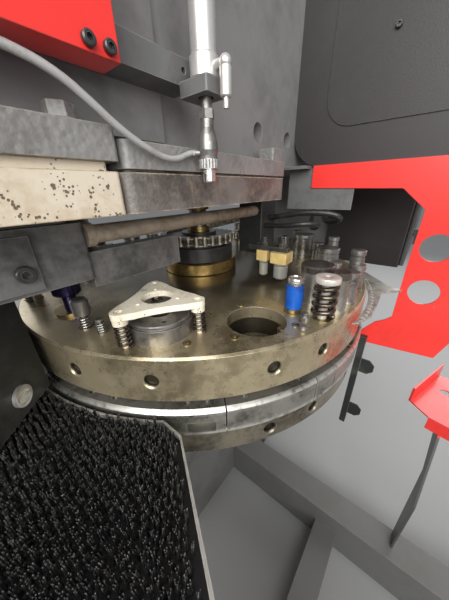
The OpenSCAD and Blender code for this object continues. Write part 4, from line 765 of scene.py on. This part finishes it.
def settle(obj, name, material, node):
    """Bakes a piece's place into its mesh, gives it its finish and lets it stand for a CAD node."""
    pick(obj)
    bpy.ops.object.transform_apply(location=True, rotation=True, scale=True)
    obj.name = name
    obj.data.name = name
    obj.data.materials.clear()
    obj.data.materials.append(material)
    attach(obj, body_of(frame["nodes"][node])[0])
    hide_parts(node)


def apply_modifier(obj, kind, **values):
    """Adds a modifier, sets it and applies it."""
    pick(obj)
    mod = obj.modifiers.new(kind.title(), kind)
    for key, value in values.items():
        setattr(mod, key, value)
    bpy.ops.object.modifier_apply(modifier=mod.name)


def join(objects):
    """Makes one object of several."""
    clear_selection()
    for obj in objects:
        obj.select_set(True)
    bpy.context.view_layer.objects.active = objects[0]
    bpy.ops.object.join()
    return bpy.context.view_layer.objects.active


def deselect_points(obj):
    """Leaves no point of a mesh selected."""
    pick(obj)
    bpy.ops.object.mode_set(mode="EDIT")
    bpy.ops.mesh.select_mode(type="VERT")
    bpy.ops.mesh.select_all(action="DESELECT")
    bpy.ops.object.mode_set(mode="OBJECT")


def wire_spring(at, outer, wire, height, turns, steps):
    """A coil spring: a ring of wire, screwed up round the spring's own axis."""
    clear_selection()
    bpy.ops.mesh.primitive_circle_add(
        vertices=WIRE_SIDES, radius=wire, location=(0, 0, 0), rotation=(math.pi / 2, 0, 0))
    obj = bpy.context.active_object
    bpy.ops.object.mode_set(mode="EDIT")
    bpy.ops.mesh.select_all(action="SELECT")
    bpy.ops.transform.translate(value=(outer - wire, 0, wire))
    bpy.ops.object.mode_set(mode="OBJECT")
    bpy.ops.object.transform_apply(location=True, rotation=True, scale=True)
    apply_modifier(obj, "SCREW", axis="Z", angle=math.tau * turns, screw_offset=height - 2 * wire,
                   steps=int(steps * turns), render_steps=int(steps * turns), use_smooth_shade=True,
                   use_merge_vertices=False)
    bpy.ops.object.mode_set(mode="EDIT")
    bpy.ops.mesh.select_all(action="DESELECT")
    bpy.ops.mesh.select_mode(type="EDGE")
    bpy.ops.mesh.select_non_manifold()
    bpy.ops.mesh.edge_face_add()
    bpy.ops.mesh.select_all(action="SELECT")
    bpy.ops.mesh.normals_make_consistent(inside=False)
    bpy.ops.object.mode_set(mode="OBJECT")
    obj.location = at
    return obj


def lathe(at, profile, closed=False):
    """A turned piece: points of radius and height in millimetres, spun round a vertical axis."""
    clear_selection()
    bpy.ops.mesh.primitive_plane_add(size=0.001, location=(0, 0, 0))
    obj = bpy.context.active_object
    bpy.ops.object.mode_set(mode="EDIT")
    bpy.ops.mesh.select_mode(type="VERT")
    bpy.ops.mesh.select_all(action="SELECT")
    bpy.ops.mesh.merge(type="CENTER")
    r0, z0 = profile[0]
    bpy.ops.transform.translate(value=(r0 / 1000, 0, z0 / 1000))
    for r1, z1 in profile[1:] + ([profile[0]] if closed else []):
        bpy.ops.mesh.extrude_vertices_move(
            TRANSFORM_OT_translate={"value": ((r1 - r0) / 1000, 0, (z1 - z0) / 1000)})
        r0, z0 = r1, z1
    bpy.ops.mesh.select_all(action="SELECT")
    bpy.ops.mesh.spin(steps=LATHE_STEPS, angle=math.tau, center=(0, 0, 0), axis=(0, 0, 1))
    bpy.ops.mesh.select_all(action="SELECT")
    bpy.ops.mesh.remove_doubles(threshold=0.000001)
    bpy.ops.mesh.select_all(action="SELECT")
    bpy.ops.mesh.normals_make_consistent(inside=False)
    bpy.ops.object.mode_set(mode="OBJECT")
    obj.location = at
    pick(obj)
    bpy.ops.object.shade_smooth_by_angle(angle=math.radians(SMOOTH_ANGLE))
    return obj


# ---- Operators

class PRESS_OT_stage(bpy.types.Operator):
    """Sets up the camera, the lamps, the world and the pale floor"""
    bl_idname = "press.stage"
    bl_label = "Stage"

    def execute(self, context):
        scene = context.scene
        sizes = scene.press_sizes
        data = bpy.data.cameras.new("camera")
        camera = bpy.data.objects.new("camera", data)
        scene.collection.objects.link(camera)
        turn = Matrix((CAMERA_RIGHT, CAMERA_UP, CAMERA_BACK)).transposed().to_4x4()
        camera.matrix_world = Matrix.Translation(CAMERA_AT) @ turn
        data.sensor_width = CAMERA_SENSOR
        data.lens = CAMERA_LENS
        data.clip_start = 0.02
        scene.camera = camera
        scene.view_settings.view_transform = "Standard"
        world = bpy.data.worlds.new("studio")
        scene.world = world
        world.use_nodes = True
        tree = world.node_tree
        tree.nodes["Background"].inputs["Color"].default_value = (0.8, 0.82, 0.85, 1)
        tree.nodes["Background"].inputs["Strength"].default_value = 0.4
        for name, at, power, size in (
                ("soft lamp", (1.3, -2.6, 2.7), sizes.lamp_power, 2.2),
                ("side lamp", (2.9, -1.9, 2.0), sizes.lamp_power * 0.5, 2.0),
                ("left lamp", (-3.4, -1.0, 2.6), sizes.lamp_power * 0.3, 2.2),
                ("back lamp", (1.4, 4.2, 3.4), sizes.lamp_power * 0.8, 2.6)):
            lamp = bpy.data.lights.new(name, "AREA")
            lamp.energy = power
            lamp.size = size
            obj = bpy.data.objects.new(name, lamp)
            scene.collection.objects.link(obj)
            aim = (LAMPS_AIM - Vector(at)).to_track_quat("-Z", "Y")
            obj.matrix_world = Matrix.Translation(at) @ aim.to_matrix().to_4x4()
        clear_selection()
        bpy.ops.mesh.primitive_plane_add(size=40, location=(0, 0, -0.0005))
        floor = context.active_object
        floor.name = "floor"
        pale = Finish("pale floor", (0.5, 0.5, 0.49), 0.7)
        floor.data.materials.append(pale.done())
        return {"FINISHED"}


CABLE_DIAMETER = 0.008

# The cable's route in metres, from the barb of the sensor head to where it goes into the red cover
CABLE_POINTS = [
    (0.31145, -0.2351, 1.404), (0.31011, -0.23659, 1.404), (0.30865, -0.23823, 1.404),
    (0.3074, -0.2465, 1.402), (0.3084, -0.262, 1.3965), (0.3105, -0.279, 1.3938), (0.312, -0.297, 1.395),
    (0.313, -0.317, 1.401), (0.314, -0.337, 1.409), (0.316, -0.361, 1.421), (0.318, -0.385, 1.436),
    (0.32, -0.409, 1.449), (0.32, -0.437, 1.4575), (0.318, -0.475, 1.461), (0.316, -0.525, 1.4615),
    (0.314, -0.575, 1.4615), (0.313, -0.605, 1.461), (0.312, -0.625, 1.462)]


class PRESS_OT_cable(bpy.types.Operator):
    """Lays the grey cable from the sensor head to the red cover"""
    bl_idname = "press.cable"
    bl_label = "Cable"

    def execute(self, context):
        data = bpy.data.curves.new("sensor_lead", "CURVE")
        data.dimensions = "3D"
        data.bevel_depth = CABLE_DIAMETER / 2
        data.bevel_resolution = 4
        data.resolution_u = 6
        data.use_fill_caps = True
        line = data.splines.new("BEZIER")
        line.bezier_points.add(len(CABLE_POINTS) - 1)
        for knot, point in zip(line.bezier_points, CABLE_POINTS):
            knot.co = point
            knot.handle_left_type = knot.handle_right_type = "AUTO"
        lead = bpy.data.objects.new("sensor_lead", data)
        context.scene.collection.objects.link(lead)
        data.materials.append(finishes["cable"])
        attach(lead, "frame")
        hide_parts("sensor_cable")
        return {"FINISHED"}


class PRESS_OT_finishes(bpy.types.Operator):
    """Gives every CAD node its finish"""
    bl_idname = "press.finishes"
    bl_label = "Finishes"

    def execute(self, context):
        make_finishes(context.scene.press_colours)
        for name, nodes in NODE_FINISHES.items():
            for node in nodes:
                obj = frame["nodes"][node]
                for slot in obj.material_slots:
                    slot.material = finishes[name]
        return {"FINISHED"}


class PRESS_OT_springs(bpy.types.Operator):
    """Winds the lifter springs and the heavy spring from wire"""
    bl_idname = "press.springs"
    bl_label = "Springs"

    def execute(self, context):
        steps = context.scene.press_sizes.wire_steps
        coils = []
        centre = on_disc(*LIFTER)
        for angle in LIFTER_COIL_ANGLES:
            a = math.radians(angle)
            foot = Vector((LIFTER_COIL_REACH * math.cos(a), LIFTER_COIL_REACH * math.sin(a),
                           LIFTER_COIL_FOOT))
            coils.append(wire_spring(centre + foot, steps=steps, **LIFTER_COIL))
        lifter = join(coils)
        settle(lifter, "lifter_coils", finishes["spring"], "lifter_springs")
        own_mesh(lifter)
        foot = on_disc(*HEAVY_SPRING, HEAVY_COIL_FOOT)
        heavy = wire_spring(foot, steps=steps, **HEAVY_COIL)
        settle(heavy, "heavy_coil", finishes["spring"], "heavy_spring")
        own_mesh(heavy)
        return {"FINISHED"}


# Turned shapes as radius and height in millimetres over the upper disc
HEAVY_CAP = [
    (0, -70), (9, -70), (9, 81), (22, 81), (24.2, 82), (25, 83.6), (25, 87.4), (24.3, 88.2), (25, 89),
    (25, 91.4), (24, 93.2), (21.5, 94), (7, 94), (6, 93.4), (6, 91), (0, 91)]
BLUE_RUBBER = [
    (8.6, 9.3), (17.4, 9.3), (18.9, 10.6), (19, 13), (18.6, 15), (19, 18), (19, 53), (18.6, 56), (19, 58),
    (18.9, 60.7), (17.4, 62), (8.6, 62)]
BLUE_TOOL_HEAD = [
    (0, -70), (8, -70), (8, 62.3), (13.6, 62.3), (14, 63), (14, 66.8), (15.8, 67.2), (17, 68.4), (17, 72),
    (16.4, 72.8), (17, 73.6), (17, 77), (15.6, 79.4), (13.5, 80), (11.5, 80), (10.6, 78.2), (7, 77.8),
    (6, 77), (0, 77)]


class PRESS_OT_tools(bpy.types.Operator):
    """Turns the finer shapes of the tools that stand in the upper disc"""
    bl_idname = "press.tools"
    bl_label = "Tools"

    def execute(self, context):
        cap = lathe(on_disc(*HEAVY_SPRING), HEAVY_CAP)
        settle(cap, "heavy_cap", finishes["cap"], "heavy_spring_cap")
        at = on_disc(*BLUE_TOOL)
        sleeve = lathe(at, BLUE_RUBBER, closed=True)
        settle(sleeve, "blue_rubber", finishes["blue"], "blue_sleeve")
        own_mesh(sleeve)
        head = lathe(at, BLUE_TOOL_HEAD)
        settle(head, "blue_tool_head", finishes["bright"], "blue_tool_cap")
        return {"FINISHED"}


class PRESS_OT_bristles(bpy.types.Operator):
    """Plants the bristle tufts of the middle and side tables"""
    bl_idname = "press.bristles"
    bl_label = "Bristles"

    def plant(self, name, node, low, high, pitch, blades, keep, seed, lean):
        """Rows of splayed tufts between two corners, thinned to where keep allows."""
        tall = high[2] - low[2]
        spikes = []
        for turn in range(blades):
            a = math.tau * (turn + 0.3) / blades
            out = pitch * (BLADE_SPREAD if turn else FIRST_BLADE_OFFSET)
            clear_selection()
            bpy.ops.mesh.primitive_cone_add(
                vertices=3, radius1=BLADE_FOOT, radius2=BLADE_TIP, depth=tall, end_fill_type="NGON",
                location=(low[0] + out * math.cos(a), low[1] + out * math.sin(a), low[2] + tall / 2))
            spikes.append(bpy.context.active_object)
        obj = join(spikes)
        pick(obj)
        bpy.ops.object.transform_apply(location=True, rotation=True, scale=True)
        columns = int((high[0] - low[0]) / pitch) + 1
        rows = int((high[1] - low[1]) / pitch) + 1
        for count, step in ((columns, (pitch, 0, 0)), (rows, (0, pitch, 0))):
            apply_modifier(obj, "ARRAY", count=count, use_relative_offset=False, use_constant_offset=True,
                           constant_offset_displace=step)
        mesh = obj.data
        per = len(mesh.vertices) // (columns * rows * blades)
        points = np.empty(len(mesh.vertices) * 3)
        mesh.vertices.foreach_get("co", points)
        points = points.reshape(rows * columns, blades, per, 3)
        middle = points[..., :2].mean((1, 2))
        inside = np.array([keep(x * 1000, (y - AXIS_Y) * 1000) for x, y in middle])
        # A tuft's tips lean to one side together, spread apart, and stray and end one by one
        rng = np.random.default_rng(seed)
        tip = points[..., 2] > high[2] - TIP_ZONE
        whole = np.clip(rng.normal(0, lean, (rows * columns, 1, 1, 2)), -2 * lean, 2 * lean)
        splay = (points[..., :2].mean(2, keepdims=True) - middle[:, None, None]) * 0.5
        own = np.clip(rng.normal(0, lean * 0.3, (rows * columns, blades, 1, 2)), -lean, lean)
        points[..., :2] += (whole + splay + own) * tip[..., None]
        points[..., 2] -= np.abs(rng.normal(0, TIP_UNEVEN, (rows * columns, blades, 1))) * tip
        mesh.vertices.foreach_set("co", points.ravel())
        deselect_points(obj)
        mesh.vertices.foreach_set("select", np.repeat(~inside, per * blades))
        bpy.ops.object.mode_set(mode="EDIT")
        bpy.ops.mesh.delete(type="VERT")
        bpy.ops.object.mode_set(mode="OBJECT")
        settle(obj, name, finishes["bristle"], node)

    def execute(self, context):
        sizes = context.scene.press_sizes

        def on_middle(x, y):
            if abs(x) > MAT_HALF_WIDTH or math.hypot(x, y) < MAT_ROUND_CUT:
                return False
            if not MAT_FRONT <= y <= MAT_BACK:
                return False
            drop, run = MAT_SLANT
            return abs(x) < MAT_CORNER or y - MAT_BACK < -(abs(x) - MAT_CORNER) * drop / run - MAT_EDGE

        def on_sides(x, y):
            return abs(x) > SIDE_MAT_START

        low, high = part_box("table_brushes")
        left, front, right = MIDDLE_MARGINS
        third = (high[0] - low[0]) / 3
        for name, x0, x1, seed in (("tufts_left", low[0], low[0] + third, 3),
                                   ("tufts_middle", low[0] + third, high[0] - third, 7),
                                   ("tufts_right", high[0] - third, high[0], 4)):
            self.plant(name, "table_brushes", (x0 + left, low[1] + front, high[2] - TUFT_HEIGHT),
                       (x1 - right, high[1], high[2]), sizes.tuft_pitch, MIDDLE_BLADES, on_middle, seed,
                       sizes.tuft_lean)
        low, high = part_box("side_brushes")
        edge = SIDE_MARGIN
        for name, x0, x1, seed in (("side_tufts_left", low[0], 0, 5),
                                   ("side_tufts_right", RIGHT_TUFTS_START, high[0], 6)):
            self.plant(name, "side_brushes", (x0 + edge, low[1] + edge, high[2] - TUFT_HEIGHT),
                       (x1 - edge, high[1] - edge, high[2]), sizes.side_pitch, SIDE_BLADES, on_sides, seed,
                       sizes.tuft_lean)
        return {"FINISHED"}


class PRESS_PT_panel(bpy.types.Panel):
    """Lists the sizes, the colours and the steps"""
    bl_idname = "PRESS_PT_panel"
    bl_label = "Turret punch press"
    bl_space_type = "VIEW_3D"
    bl_region_type = "UI"
    bl_category = "Press"

    def draw(self, context):
        for group_name in ("press_sizes", "press_colours"):
            values = getattr(context.scene, group_name)
            for prop in values.bl_rna.properties:
                if prop.identifier not in ("name", "rna_type"):
                    self.layout.prop(values, prop.identifier)
        for step in STEPS:
            self.layout.operator(step.bl_idname)


STEPS = (PRESS_OT_stage, PRESS_OT_finishes, PRESS_OT_cable, PRESS_OT_springs, PRESS_OT_tools,
         PRESS_OT_bristles)
CLASSES = (PressSizes, PressColours, *STEPS, PRESS_PT_panel)


def register():
    for kind in CLASSES:
        bpy.utils.register_class(kind)
    bpy.types.Scene.press_sizes = bpy.props.PointerProperty(type=PressSizes)
    bpy.types.Scene.press_colours = bpy.props.PointerProperty(type=PressColours)


def unregister():
    del bpy.types.Scene.press_colours
    del bpy.types.Scene.press_sizes
    for kind in reversed(CLASSES):
        bpy.utils.unregister_class(kind)


def main():
    register()
    for step in STEPS:
        name = step.bl_idname.split(".")[1]
        getattr(bpy.ops.press, name)()


if __name__ == "__main__":
    main()
